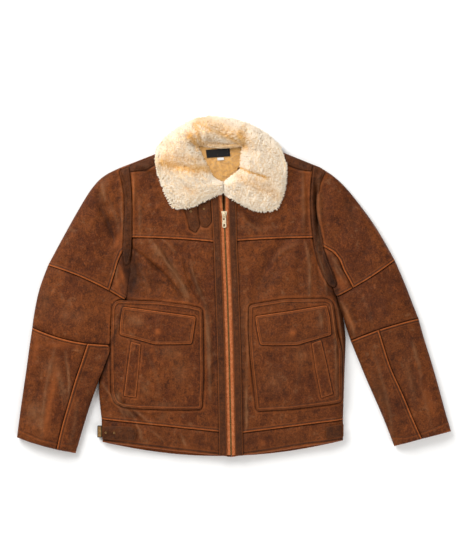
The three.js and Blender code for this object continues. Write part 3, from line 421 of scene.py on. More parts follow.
# Creases, in the photograph's pixels: from, to, sideways bow, width and height in millimetres.
creases = [
    (128, 246, 184, 300, 4, 3.8, -3.8), (152, 247, 190, 299, 3, 5.0, 3.4),
    (158, 250, 186, 298, 3, 2.4, 1.0), (150, 240, 166, 262, 1, 5, 1.8),
    (183, 260, 201, 304, -2, 2.6, -3.0), (191, 262, 206, 304, -2, 3.4, 2.4),
    (137, 262, 150, 296, 1, 9, 1.0), (163, 240, 176, 254, 1, 3, 0.9),
    (148, 241, 160, 258, 1, 3.5, -1.0), (134, 262, 131, 292, 2, 7, -1.6),
    (128, 255, 139, 283, -2, 4, 0.8), (206, 306, 210, 400, 1, 4, 1.3), (213, 298, 215, 420, 0, 4, -1.3),
    (204, 320, 205, 405, 0, 3, -1.2), (101, 383, 126, 421, 2, 3, 1.6), (104, 381, 132, 420, 3, 3, -1.7),
    (107, 392, 138, 425, 3, 3.2, 1.5), (112, 396, 143, 424, 3, 3, -1.6),
    (118, 402, 152, 426, 3, 3.4, 1.2), (126, 408, 166, 428, 3, 3.4, -1.0),
    (136, 424, 143, 440, 1, 2.6, 1.2), (133, 426, 138, 441, 1, 2.6, -1.3),
    (150, 430, 163, 441, 1, 3, 1.0), (181, 434, 188, 447, -1, 3, 1.0),
    (178, 437, 184, 449, -1, 3, -0.9), (236, 205, 262, 225, -3, 5, -2.4),
    (262, 226, 290, 226, 2, 8, -1.2), (241, 214, 264, 231, -3, 6, 1.2), (306, 243, 309, 300, 2, 4, 1.7),
    (311, 243, 320, 292, 2, 3.4, -1.8), (316, 250, 327, 294, 2, 3.4, 1.5),
    (302, 245, 300, 298, -3, 6, -1.6), (285, 242, 256, 300, -6, 9, -1.8),
    (300, 243, 272, 262, -3, 7, 1.0), (331, 300, 336, 398, 2, 3.0, 1.8),
    (334, 300, 340, 398, 2, 2.8, -1.9), (337, 300, 343, 400, 2, 2.6, 1.5),
    (341, 305, 345, 360, 1, 2.6, -1.4), (246.3, 384, 246.5, 432, 0.4, 2.6, 1.8),
    (243.0, 300, 243.5, 431, 1, 3.2, -1.6), (250.5, 318, 252.5, 402, 0.5, 3.2, -1.4),
    (248, 300, 246, 384, 1, 4, 1.1), (101, 183, 105, 202, 1, 3, 1.6), (96, 186, 103, 214, 1, 9, -2.6),
    (100, 208, 114, 243, 2, 6, -2.6), (109, 200, 120, 238, 2, 8, 1.6),
    (121, 200, 123, 238, 0.5, 3, 1.3), (118, 205, 119, 240, 0.5, 4, -1.2),
    (133, 172, 134, 205, 1, 4.5, 2.0), (137, 184, 136, 242, -1, 4, -1.8),
    (141, 200, 141, 238, -1, 5, 1.0), (137, 170, 166, 180, 1, 4, -1.6), (140, 165, 168, 172, 1, 6, 1.2),
    (152, 188, 164, 206, 2, 8, -1.4), (108, 171, 120, 178, 1, 5, -1.2), (66, 352, 70, 402, 1, 3.4, 1.5),
    (60, 350, 64, 400, 1, 7, -1.2), (56, 345, 42, 440, -3, 5, 1.3), (47, 350, 33, 438, -3, 9, -0.9),
    (78, 400, 70, 446, 1, 4, 0.8), (88, 352, 80, 390, 1, 6, -1.2), (372, 350, 393, 440, 3, 5, 1.2),
    (366, 350, 382, 420, 2, 7, -1.0), (411, 342, 421, 385, 2, 6, 1.4), (420, 385, 430, 425, 1, 6, 0.9),
    (406, 350, 418, 400, 2, 6, -1.2), (386, 345, 412, 432, 2, 8, -1.0), (318, 178, 318, 250, 2, 4, 1.4),
    (322, 185, 324, 250, 2, 5, -1.4), (345, 188, 354, 232, 3, 12, -1.6),
    (330, 250, 346, 276, -2, 4, 1.0), (306, 172, 308, 236, 1, 4.5, -2.0),
    (302, 168, 303, 232, 1, 6, 1.6), (288, 165, 300, 176, 1, 6, -1.2),
    (334, 262, 343, 281, -1, 3.5, 1.3), (331, 262, 337, 286, -1, 3, -1.4),
    (341, 303, 354, 336, 2, 4, 2.0), (346, 303, 359, 334, 2, 5, -1.4),
    (120, 300, 113, 340, -2, 5, -1.2), (110, 262, 112, 285, -1, 4, -1.0),
    (118, 262, 117, 282, -1, 3.5, 1.2), (35, 296, 46, 326, 2, 8, -1.0), (60, 290, 66, 326, 2, 12, 1.0),
    (86, 296, 92, 336, 2, 10, -1.0), (384, 280, 396, 318, 2, 12, -1.0),
    (360, 292, 372, 330, 2, 10, 1.0), (146, 352, 160, 396, 3, 7, 0.8), (173, 350, 190, 398, 3, 9, -0.8),
    (300, 352, 292, 396, 3, 9, 0.7), (318, 309, 322, 330, 1, 2.6, 0.9),
    (321, 309, 326, 330, 1, 2.6, -0.9),
]


def waves(points, longest, shortest, count, seed):
    """A gentle uneven swell between -1 and 1."""
    dice = np.random.default_rng(seed)
    total = np.zeros(len(points))
    for _ in range(count):
        turn = dice.uniform(0, 2 * math.pi)
        rate = 2 * math.pi / dice.uniform(shortest, longest)
        phase = dice.uniform(0, 2 * math.pi)
        total += np.sin((points[:, 0] * math.cos(turn) + points[:, 1] * math.sin(turn)) * rate + phase)
    return total / math.sqrt(count * 2)


zip_way = [
    (-24.2, 222), (-22.4, 168), (-22.0, 158), (-20.0, 103), (-14.6, -31), (-11.2, -143), (-6.5, -384)
]


def zip_x(y):
    """The middle line of the zip at a height y of the coat."""
    return np.interp(y, [y for _, y in zip_way][::-1], [x for x, _ in zip_way][::-1])


def bells(away, rows):
    """The sum of soft ridges beside a line: each row is an amount, its distance and its width."""
    total = np.zeros(len(away))
    for amount, where, width in rows:
        total += amount * np.exp(-((away - where) / width) ** 2)
    return total


def relief(points):
    """How far creases and swells lift the leather at each point, and the painted highlight on their
    crests.
    """
    gain = 1.6
    rubbed_height = 1.6
    rubbed_width = 4
    zip_half, calm_reach = 8, 18
    lift = np.zeros(len(points))
    crest = np.zeros(len(points))
    for u0, v0, u1, v1, bow, width, height in creases:
        ax, ay = at(u0, v0)
        bx, by = at(u1, v1)
        dx, dy = bx - ax, by - ay
        length = math.hypot(dx, dy)
        reach = 3 * width + abs(bow) * pixel + 4
        near = (
            (points[:, 0] > min(ax, bx) - reach) & (points[:, 0] < max(ax, bx) + reach)
            & (points[:, 1] > min(ay, by) - reach) & (points[:, 1] < max(ay, by) + reach)
        )
        if not near.any():
            continue
        local = points[near]
        along = ((local[:, 0] - ax) * dx + (local[:, 1] - ay) * dy) / length ** 2
        across = ((local[:, 1] - ay) * dx - (local[:, 0] - ax) * dy) / length
        within = np.clip(along, 0, 1)
        wander = 0.6 * np.sin(along * 9 + u0) + 0.4 * np.sin(along * 23 + v0)
        across = across - bow * pixel * 4 * within * (1 - within) - wander
        past = (along - within) * length
        away = np.sqrt(across ** 2 + past ** 2)
        taper = 0.25 + 0.75 * np.sin(np.pi * np.clip(within * 0.86 + 0.07, 0, 1))
        bump = np.exp(-(away / width) ** 2) * taper * (1 + 0.2 * np.sin(along * 15 + u1))
        lift[near] += gain * height * bump
        if height > 0:
            narrow = min(width, rubbed_width)
            share = min(1, height / rubbed_height) * min(1, rubbed_width / width)
            crest[near] = np.maximum(crest[near], share * np.exp(-(away / narrow) ** 2) * taper)
    swell = 1.1 * waves(points, 95, 50, 9, 3) + 0.75 * waves(points, 34, 17, 12, 5)
    swell += 0.26 * waves(points, 13, 7, 14, 9)
    from_zip = np.abs(points[:, 0] - zip_x(points[:, 1]))
    calm = np.clip((from_zip - zip_half) / calm_reach, 0, 1)
    return (lift + swell) * calm, crest


# Painted shade, in the photograph's pixels: centre, half sizes, tilt in degrees and strength. It lies
# in the hollows under the arms and beside the folds, where shade falls.
painted_shade_places = [
    (127, 268, 4, 12, -8, 0.75), (131, 276, 8, 18, -6, 0.75), (134, 288, 10, 12, 0, 0.3),
    (127, 258, 6, 9, 0, 0.45), (121, 313, 1.6, 13, 17, 1.0), (115, 335, 1.6, 13, 20, 1.0),
    (134, 250, 3, 12, 0, 0.4), (152, 282, 7, 16, -30, 0.35), (172, 268, 4, 22, -22, 0.3),
    (192, 275, 2.5, 16, -22, 0.55), (199, 292, 2.5, 10, -20, 0.5), (208, 330, 2, 30, 0, 0.3),
    (106, 370, 4, 30, 0, 0.5), (126, 410, 9, 7, 20, 0.3), (333, 282, 4, 12, -15, 0.9),
    (328, 262, 4, 12, -12, 0.4), (331, 290, 7, 6, 0, 0.6), (337, 298, 2, 8, -10, 0.9),
    (343, 320, 2, 16, -10, 0.8), (306, 282, 3, 18, 5, 0.35), (318, 285, 3, 12, -12, 0.3),
    (343, 360, 3, 34, 0, 0.45), (270, 280, 6, 22, 40, 0.3), (256, 222, 8, 9, -40, 0.35),
    (108, 222, 5, 20, -25, 0.4), (148, 173, 12, 4, 10, 0.4), (112, 285, 3, 12, 10, 0.35),
    (299, 172, 5, 6, 0, 0.4), (350, 210, 5, 16, -20, 0.3), (88, 400, 5, 25, 14, 0.3),
    (385, 400, 4, 25, -18, 0.4), (243, 350, 3, 60, 0, 0.3), (214, 350, 3, 60, 0, 0.3),
    (300, 370, 75, 90, 0, 0.2), (220, 442, 130, 12, 0, 0.3), (392, 350, 40, 90, -15, 0.2),
    (136, 270, 9, 14, 0, 0.35), (128, 284, 4, 12, 0, 0.5), (300, 161, 16, 7, 15, 0.4),
    (143, 165, 16, 7, -15, 0.35), (127, 215, 5, 50, 0, 0.25), (316, 212, 5, 40, 0, 0.4),
    (328, 262, 6, 20, -20, 0.3), (126, 262, 7, 8, 0, 0.5),
]

# Places where the finish is rubbed to copper, some painted highlight on lit edges among them, and
# places of pale painted highlight and sheen.
rubbed_and_highlit_places = [
    (124, 278, 2.2, 12, -18, 0.9), (117, 284, 4, 8, 10, 0.4), (340, 282, 4, 9, -25, 0.4),
    (50, 405, 3, 34, 10, 0.45), (58, 345, 14, 3, 0, 0.3), (120, 320, 1.5, 14, 0, 0.3),
    (134, 185, 3, 14, 0, 0.4), (306, 190, 3, 22, 0, 0.3), (172, 302, 16, 1.6, 6, 0.4),
    (290, 298, 16, 1.6, 0, 0.3), (188, 446, 5, 5, 20, 0.3), (262, 443, 4, 3, 20, 0.5),
    (350, 320, 2, 12, -25, 0.4), (36, 350, 3, 20, 4, 0.3), (428, 400, 4, 20, -20, 0.25),
    (118, 240, 3, 8, 20, 0.5), (327, 250, 3, 6, -20, 0.4),
]
painted_sheen_places = [
    (34, 412, 7, 10, 10, 0.8), (42, 420, 5, 14, 15, 0.4), (62, 385, 3, 16, -12, 0.7),
    (50, 368, 8, 8, 0, 0.35), (158, 254, 5, 6, 0, 0.6), (174, 272, 4, 14, -25, 0.9),
    (184, 292, 3, 9, -20, 0.7), (207, 330, 3, 16, 0, 0.6), (209, 355, 2.5, 12, 0, 0.4),
    (133, 320, 6, 5, 0, 0.6), (140, 322, 4, 4, 0, 0.5), (170, 352, 9, 6, 0, 0.4),
    (180, 372, 6, 10, 0, 0.4), (145, 388, 4, 8, -20, 0.5), (165, 404, 10, 2.5, 0, 0.4),
    (118, 396, 3, 5, -20, 0.9), (246, 410, 1.4, 18, 0, 1.0), (243, 330, 2.5, 26, 2, 0.4),
    (320, 320, 3, 9, 10, 0.5), (103, 190, 2.5, 9, 10, 0.7), (380, 395, 6, 20, -20, 0.35),
    (410, 380, 4, 20, -12, 0.45), (415, 352, 2, 10, -12, 0.6), (348, 318, 2.5, 12, -20, 0.6),
    (126, 412, 2, 8, -40, 0.7), (140, 435, 1.2, 6, -15, 0.9), (184, 442, 1.6, 6, -20, 0.6),
    (163, 417, 6, 4, -30, 0.4), (245, 228, 12, 4, 0, 0.3), (200, 230, 8, 5, 0, 0.25),
    (45, 300, 8, 14, 0, 0.3), (75, 315, 14, 6, 0, 0.25), (275, 380, 10, 12, 0, 0.3),
    (300, 355, 6, 8, 0, 0.3),
]


def patches_of(points, places):
    """How strongly soft oval places, given in the photograph's pixels, show at each point."""
    total = np.zeros(len(points))
    for u, v, half_u, half_v, tilt, strength in places:
        x, y = at(u, v)
        turn = math.radians(tilt)
        dx, dy = points[:, 0] - x, points[:, 1] - y
        across = dx * math.cos(turn) - dy * math.sin(turn)
        along = dx * math.sin(turn) + dy * math.cos(turn)
        total += strength * np.exp(-(across / (half_u * pixel)) ** 2 - (along / (half_v * pixel)) ** 2)
    return total


def leather(name, mid, warm, deep, rubbed, pale, strength=1.0):
    """Pull-up sheepskin: clouded brown, finely grained, copper where it is rubbed and on some painted
    highlights, pale painted highlight on crests, painted shade in folds.
    """
    finish = Finish(name, Specular_IOR_Level=0.12)
    stretched = {"Vector": finish.place(), "Rotation": (0, 0, 0.5), "Scale": (1.0, 0.4, 1.0)}
    drawn = finish.add("Mapping", {}, stretched)
    clouds = finish.noise(0.055, 5, 0.62)
    patches = finish.noise(0.02, 6, 0.72)
    specks = finish.noise(0.0044, 4, 0.7)
    scuffs = finish.noise(0.008, 6, 0.8, drawn)
    grain = finish.cells(0.0018)
    fine = finish.noise(0.0014, 3, 0.6)
    pores = finish.noise(0.0027, 2, 0.6)
    crest = (finish.own("crest") * (2.6 * scuffs - 0.45)).held()
    rub = (finish.own("rub") * (2.4 * specks - 0.3)).held()
    soil = (finish.own("soil") * (0.6 + 0.5 * patches)).held()
    tone = finish.mix(clouds.between(0.38, 0.6), paint(mid), paint(warm))
    for share, colour in [
        (patches.between(0.5, 0.7) * 0.75 * strength, deep),
        ((1 - patches).between(0.55, 0.7) * 0.4 * strength, pale),
        (specks.between(0.42, 0.7) * (0.15 + 0.7 * clouds) * strength, deep),
        (scuffs.between(0.5, 0.75) * 0.5 * strength, rubbed),
        (pores.between(0.5, 0.68) * 0.16 * strength, rubbed),
        ((1 - pores).between(0.52, 0.68) * 0.25 * strength, deep),
        # Painted highlight on crests, copper rub with some painted highlight, then painted shade in
        # dark brown.
        (crest * 0.5, pale),
        (rub, rubbed),
        (soil * 0.88, "241107"),
    ]:
        tone = finish.mix(share, tone, paint(colour))
    gloss = 0.6 - 0.16 * clouds - 0.1 * crest + 0.16 * fine
    return finish.wear(tone, gloss, (grain, 0.0005), (fine, 0.0003), (scuffs, 0.0005))


brown_leather = leather("brown_leather", "54270d", "6b3613", "2b1206", "a65827", "8a6040")


def belong(piece, node, body="coat"):
    """Says what a piece stands for: it rides on a body and replaces a node."""
    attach(piece, body)
    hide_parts(node)


def lay(piece, node, rests_on):
    """Says what a piece of cloth stands for."""
    belong(piece, node)


def traced(*lines):
    """Close points along lines that are given in the photograph's pixels."""
    return np.concatenate([close_points([at(u, v) for u, v in line]) for line in lines])


dark_pieces = ("placket", "armhole_strap", "shoulder_strip", "throat_tab", "hem_tab")
panel_bottom = 11.3
# The lower edges that are turned up and stitched.
hem_edges = traced(
    [(100, 443), (128, 446), (178, 452), (226, 457.5)],
    [(233, 457.5), (267, 453), (305, 446.5), (345, 442)],
)
cuff_edges = traced(
    [(16, 438), (37, 447), (61, 453), (77, 453)],
    [(391, 446), (407, 446), (424, 441), (452, 430)],
)
plackets = np.concatenate([outlines[n] for n in outlines if n.startswith("placket")])
sleeves = np.concatenate([outlines[n] for n in outlines if n.startswith(("sleeve_middle", "forearm"))])
# How the leather lies beside each line: its height, how copper it is rubbed and how much painted shade
# it gets, each as rows for bells(), with heights, distances and widths in millimetres.
beside = {
    "lapping rim": ([(2.4, 1, 5), (-0.7, 5.6, 1)], [(1, 1.4, 1.3), (0.35, 7.4, 1)], [(0.8, 5.2, 1.2)]),
    "lapped rim": ([(-1.3, 0, 2.2)], [], [(1, 0, 2.4)]),
    "hem": ([(-0.8, 9, 1.3)], [(0.9, 2, 2.4), (0.3, 11, 1.3)], [(0.8, 7.6, 1.6)]),
    "cuff": ([(-0.9, 20, 1.6)], [(0.45, 1.5, 2), (0.3, 17.5, 1.6)], [(0.5, 20.4, 1.5)]),
    "sleeve": ([(-2.5, 0, 9)], [], [(0.85, 0, 7)]),
    "sewn piece": ([(-1, 0, 2.5), (0.8, 6, 3)], [(0.35, 4.5, 2)], [(0.9, 0, 2)]),
    "placket": ([(-0.7, 0, 2.5)], [], [(0.7, 0, 2.6)]),
}
# These small panels have close-set points already, and are subdivided once less.
close_set = ("sleeve_gusset_right", "sleeve_gusset_left", "sleeve_middle_right", "forearm_inner_right")
body_panels = ("yoke", "front", "hem_band")
sleeve_panels = ("sleeve_upper", "sleeve_gusset", "sleeve_middle", "forearm_outer", "forearm_inner")
# The left sleeve's edge is drawn in to meet the strap and, under the arm, the front: by how much, to
# which line and within what distance of it, then at what height of the coat and over what length.
drawn_panels = ("sleeve_upper_left", "sleeve_gusset_left", "sleeve_middle_left")
meeting_edges = [
    (6.5, loops["armhole_strap_left"], 9, 177, 50),
    (3.0, outlines["front_left"], 6, -30, 35),
]
panels = {}
for node, part, side in [
    (f"{part}_{side}", part, side) for side in ("right", "left") for part in body_panels + sleeve_panels
]:
    piece = copy_of(f"leather_{node}", node, 2 if node in close_set else 3)
    points, normals = points_of(piece)
    upper = np.clip(normals[:, 2] * 3, 0, 1)
    free = np.clip((points[:, 2] - panel_bottom) / 8, 0, 1)
    lift, crest = relief(points)
    rub, soil = np.zeros(len(points)), np.zeros(len(points))
    for kind, line in [
        ("lapping rim", over.get(node)), ("lapped rim", under.get(node)), ("hem", hem_edges),
        ("cuff", cuff_edges), ("sleeve", sleeves if part in ("front", "hem_band") else None),
        ("sewn piece", on_panels), ("placket", plackets),
    ]:
        away = distance(points, line)
        for total, rows in zip((lift, rub, soil), beside[kind]):
            total += bells(away, rows)
    points[:, 2] += lift * free * np.clip(normals[:, 2] * 4 + 0.4, 0, 1)
    drawn_in = np.zeros(len(points))
    for most, line, reach, middle_y, length in meeting_edges if node.startswith(drawn_panels) else []:
        nearness = (distance(points, line) / reach) ** 2 + ((points[:, 1] - middle_y) / length) ** 2
        drawn_in += most * np.exp(-nearness)
    points[:, 0] -= drawn_in
    shape(piece, points)
    # Copper rub with some painted highlight, painted shade in the creases' troughs and hollows, and
    # painted highlight on crests and pale places.
    rub += patches_of(points, rubbed_and_highlit_places)
    soil += 0.6 * np.clip(-lift / 5 - 0.1, 0, 1) + patches_of(points, painted_shade_places)
    crest = np.clip(crest + patches_of(points, painted_sheen_places), 0, 1) * upper
    note(piece, rub=np.clip(rub, 0, 1) * upper, soil=np.clip(soil, 0, 1), crest=crest)
    piece.data.materials.append(brown_leather)
    bpy.ops.object.shade_smooth_by_angle(angle=math.radians(38))
    lay(piece, node, ["back_panel" if part in body_panels else f"sleeve_back_{side}"])
    panels[node] = piece

# The back: one panel, its hem band and a plain back to each sleeve, all lying flat on the table. They
# are of the same leather, on their solids' forms, and are rubbed a little along the hem.
for node in ("back_panel", "back_hem_band", "sleeve_back_right", "sleeve_back_left"):
    piece = copy_of(f"leather_{node}", node, 2)
    from_hem = distance(points_of(piece)[0], hem_edges)
    note(piece, rub=bells(from_hem, [(0.25, 0, 4)]), soil=0, crest=0)
    piece.data.materials.append(brown_leather)
    bpy.ops.object.shade_smooth_by_angle(angle=math.radians(38))
    lay(piece, node, ["the table"])

# Pockets and their flaps and welts, and the darker strips and tabs: single leather, turned in at the
# rim and topstitched on to the panels, so they follow the same creases. Each is a sheet of triangles
# over its outline, as high as its solid, with its stitch rows pressed in.
dark_leather = leather("dark_leather", "42220f", "572d12", "200f06", "904c20", "735138", 0.9)
seam_rows = []


def inward(loop, offset):
    """A closed loop moved inwards, without the points that fall too near its other side."""
    ahead = np.roll(loop, -1, axis=0) - np.roll(loop, 1, axis=0)
    ahead /= np.linalg.norm(ahead, axis=1)[:, None]
    turned = np.stack([-ahead[:, 1], ahead[:, 0]], axis=1)
    area = np.sum(loop[:, 0] * np.roll(loop[:, 1], -1) - np.roll(loop[:, 0], -1) * loop[:, 1])
    moved = loop + turned * offset * (1 if area > 0 else -1)
    return moved[distance(moved, loop) > 0.94 * offset]


def inside(points, loop):
    """Which points lie within a closed loop."""
    crossings = np.zeros(len(points), dtype=int)
    ends = np.roll(loop, -1, axis=0)
    for (ax, ay), (bx, by) in zip(loop, ends):
        if ay != by:
            spans = (points[:, 1] > min(ay, by)) & (points[:, 1] <= max(ay, by))
            crossings += spans & (points[:, 0] < ax + (points[:, 1] - ay) * (bx - ax) / (by - ay))
    return crossings % 2 == 1


def mesh_piece(name, corners, faces):
    """A new piece from its corners, in metres, and its faces."""
    mesh = bpy.data.meshes.new(name)
    mesh.from_pydata(corners, [], faces)
    piece = bpy.data.objects.new(name, mesh)
    bpy.context.scene.collection.objects.link(piece)
    return piece


def surface_under(objects):
    """A function giving the height of the topmost of some pieces at a point, or None off them all."""
    trees = []
    for piece in objects:
        corners = [v.co.copy() for v in piece.data.vertices]
        trees.append(BVHTree.FromPolygons(corners, [tuple(p.vertices) for p in piece.data.polygons]))

    def height(x, y):
        hits = [tree.ray_cast(Vector((x / 1000, y / 1000, 1)), Vector((0, 0, -1)))[0] for tree in trees]
        hits = [hit.z * 1000 for hit in hits if hit]
        return max(hits) if hits else None

    return height


def seated(height, loop, points):
    """The height of the form at each point, read a little inside its rim and past it."""
    centre = loop.mean(axis=0)
    heights = np.empty(len(points))
    for i, point in enumerate(points):
        found = None
        for share in (0.0, 0.06, 0.12, 0.2, 0.3, 0.45, 0.7):
            x, y = point + (centre - point) * share
            found = height(x, y)
            if found is not None and (share > 0 or distance(point[None], loop)[0] > 4):
                break
        heights[i] = found if found is not None else heights[i - 1]
    return heights


def sewn_piece(node):
    """The piece, how far each of its points is from the rim, and which points are on its upper side."""
    thickness = sewn_shapes[node][1]
    loop = loops[node]
    spacing = 3.0
    smoothings = 6
    ring_offsets = (0.8, 2.0, 3.2, 4.4, 5.6, 6.8, 8.2)
    past_rings = 9.8
    rings = [inward(loop, offset) for offset in ring_offsets]
    columns, lines = (np.arange(loop[:, k].min(), loop[:, k].max(), spacing) for k in (0, 1))
    grid = np.array([(x, y) for y in lines for x in columns])
    grid = grid[inside(grid, loop)]
    grid = grid[distance(grid, loop) > past_rings]
    flat = np.concatenate([loop, *rings, grid])
    edges = [(i, (i + 1) % len(loop)) for i in range(len(loop))]
    found = delaunay_2d_cdt([Vector(p) for p in flat], edges, [], 1, 0.0001)
    flat = np.array([tuple(p) for p in found[0]])
    triangles = np.array(found[2])
    a, b, c = flat[triangles[:, 0]], flat[triangles[:, 1]], flat[triangles[:, 2]]
    turn = (b[:, 0] - a[:, 0]) * (c[:, 1] - a[:, 1]) - (b[:, 1] - a[:, 1]) * (c[:, 0] - a[:, 0])
    triangles = np.where(turn[:, None] > 0, triangles, triangles[:, ::-1])
    top = seated(surface_under([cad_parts[node]]), loop, flat)
    rim = distance(flat, even(np.concatenate([loop, loop[:1]]), 0.5))
    for _ in range(smoothings):
        total = np.zeros(len(flat))
        count = np.zeros(len(flat))
        for i, j in ((0, 1), (1, 2), (2, 0)):
            np.add.at(total, triangles[:, i], top[triangles[:, j]])
            np.add.at(total, triangles[:, j], top[triangles[:, i]])
            np.add.at(count, triangles[:, i], 1)
            np.add.at(count, triangles[:, j], 1)
        top = 0.4 * top + 0.6 * total / count
    profile = thickness * 0.5 * np.exp(-(rim / 0.9) ** 2)
    upper = np.column_stack([flat, top - profile])
    lower = np.column_stack([flat, top - thickness])
    vertices = np.concatenate([upper, lower])
    total = len(flat)
    once = {}
    for x, y, z in triangles:
        for edge in ((x, y), (y, z), (z, x)):
            once[edge] = True
    faces = [tuple(t) for t in triangles] + [tuple(t[::-1] + total) for t in triangles]
    faces += [(q, p, p + total, q + total) for p, q in once if (q, p) not in once]
    faces = [tuple(int(i) for i in face) for face in faces]
    piece = mesh_piece(f"leather_{node}", (vertices / 1000).tolist(), faces)
    select(piece)
    return piece, np.concatenate([rim, rim]), np.arange(2 * total) < total


# Beside the rim of each kind of piece: its stitch rows, its height, how copper it is rubbed and how
# much painted shade it gets, the last three as rows for bells().
faint_rim = [(0.385, 1.3, 1.4)]
copper_rim = [(1.1, 1.3, 1.4)]
rims = {
    "pocket": (
        (3.0, 7.5), [(1.2, 5.2, 1.8), (-0.8, 9, 1.6)], [(0.33, 1.3, 1.4), (0.5, 5, 1.3)], [(0.55, 0, 1)]
    ),
    "pocket_flap": ((2.6, 7.0), [(0.5, 4.8, 1.5)], [*copper_rim, (0.3, 4.8, 1.5)], []),
    "pocket_welt": ((2.2,), [], copper_rim, [(0.3, 0, 0.8)]),
    "armhole_strap": ((2.4,), [], faint_rim, [(0.5, 0, 0.9)]),
    "shoulder_strip": ((2.4,), [], faint_rim, [(0.5, 0, 0.9)]),
    "throat_tab": ((2.2,), [], faint_rim, [(0.5, 0, 0.9)]),
    "hem_tab": ((2.2,), [], faint_rim, [(0.2, 0, 0.9)]),
}
magnets = [at(158.5, 331.2), at(292.3, 332.8)]
pocket_slits = [
    traced([(131, 340), (127.5, 368), (124, 396)]), traced([(321, 338), (326.5, 363), (333, 394)])
]
for node in sewn_shapes:
    piece, rim, upper = sewn_piece(node)
    points = points_of(piece)[0]
    lift, crest = relief(points)
    part, side = node.rsplit("_", 1)
    rows, heights, rubs, soils = rims[part]
    detail, rub, soil = bells(rim, heights), bells(rim, rubs), bells(rim, soils)
    for row in rows:
        # Each stitch row is pressed in, with painted shade in its groove.
        detail += bells(rim, [(-0.55, row, 0.7)])
        soil += bells(rim, [(0.6, row, 0.8)])
        seam_rows.append((inward(loops[node], row), piece, True))
    if part == "pocket_flap":
        for x, y in magnets:
            away = np.hypot(points[:, 0] - x, points[:, 1] - y)
            detail += 1.6 / (1 + np.exp((away - 6.5) * 1.4))
            rub += bells(away, [(0.6, 2, 5)])
    if part == "pocket":
        upon = np.concatenate([even(loops[f"{name}_{side}"], 0.8) for name in on_pockets])
        near = distance(points, upon)
        # Painted shade beside the flap and welt, a painted shadow just below the flap's edge and
        # painted shade in the pocket slits.
        below = distance(points, even(loops[f"pocket_flap_{side}"], 0.8) - np.array([0, 1.5]))
        detail += bells(near, [(-0.9, 0, 2.5)])
        rub += bells(near, [(0.35, 4, 1.6)])
        soil += bells(near, [(0.45, 0, 1.8)]) + bells(below, [(0.8, 0, 2.4)])
        for slit in pocket_slits:
            soil += bells(distance(points, slit), [(0.8, 0, 1.8)])
    points[:, 2] += lift + np.where(upper, detail, 0)
    shape(piece, points)
    soil = np.clip(soil + patches_of(points, painted_shade_places), 0, 1) * upper
    crest = np.clip(crest + patches_of(points, painted_sheen_places), 0, 1) * upper
    note(piece, rub=np.clip(rub, 0, 1) * upper, soil=soil, crest=crest)
    piece.data.materials.append(dark_leather if node.startswith(dark_pieces) else brown_leather)
    bpy.ops.object.shade_smooth_by_angle(angle=math.radians(50))
    lay(piece, node, ["the panels below it"])
    panels[node] = piece

# The placket strips: darker leather down both sides of the zip, smooth and flat, on their solids'
# forms. Two rows of stitches hold each, one along either edge.
for side, sign in (("right", -1), ("left", 1)):
    node = f"placket_strip_{side}"
    piece = copy_of(f"leather_{node}", node, 3, 50)
    points, normals = points_of(piece)
    lift, crest = relief(points)
    rim = distance(points, outlines[node])
    upper = np.clip(normals[:, 2] * 3, 0, 1)
    points[:, 2] += lift + bells(rim, [(-0.5, 3, 0.8), (-0.3, 7.5, 0.9)]) * upper
    shape(piece, points)
    # Painted shade in the stitch groove and in the painted shade places.
    soil = np.clip(bells(rim, [(0.6, 3, 0.9)]) + patches_of(points, painted_shade_places), 0, 1)
    note(piece, rub=bells(rim, [(0.6, 0, 2)]) * upper, soil=soil * upper, crest=crest * upper)
    piece.data.materials.append(dark_leather)
    bpy.ops.object.shade_smooth_by_angle(angle=math.radians(40))
    lay(piece, node, ["the fronts"])
    panels[node] = piece
    ys = np.arange(-374, 212, 3.6)
    for far in (12.3, 23.0):
        seam_rows.append((np.column_stack([zip_x(ys) + sign * far, ys]), piece, False))


# Stitches: waxed brown thread, one short rounded stitch after another, pressed into the leather. They
# run beside every lapped seam, round every sewn piece and above the hem and the cuffs.
def ordered(points):
    """A seam's unordered points as a line along its own direction."""
    centre = points.mean(axis=0)
    axis = np.linalg.svd(points - centre, full_matrices=False)[2][0]
    return points[np.argsort((points - centre) @ axis)]


from_lap = 5.4
for upper, lower in seams:
    line = even(even(ordered(shared_rim(upper, lower))[::3], 9.0), 2.0)
    ahead = np.gradient(line, axis=0)
    ahead /= np.linalg.norm(ahead, axis=1)[:, None]
    turned = np.stack([-ahead[:, 1], ahead[:, 0]], axis=1)
    inner = outlines[upper].mean(axis=0)
    sign = np.sign(((inner - line.mean(axis=0)) * turned.mean(axis=0)).sum())
    seam_rows.append((line + turned * sign * from_lap, panels[upper], False))
for edge, node, above in [
    ([(103, 443), (128, 446), (178, 452), (212, 456)], "hem_band_right", 9),
    ([(245, 455.5), (267, 453), (305, 446.5), (342, 442)], "hem_band_left", 9),
    ([(18, 438), (37, 447), (57, 452)], "forearm_outer_right", 21),
    ([(60, 453), (76, 453)], "forearm_inner_right", 21),
    ([(424, 441), (450, 430.5)], "forearm_outer_left", 21),
    ([(393, 446), (407, 446), (421, 441)], "forearm_inner_left", 21),
]:
    line = even(np.array([at(u, v) for u, v in edge]), 2.0) + np.array([0, above])
    seam_rows.append((line, panels[node], False))

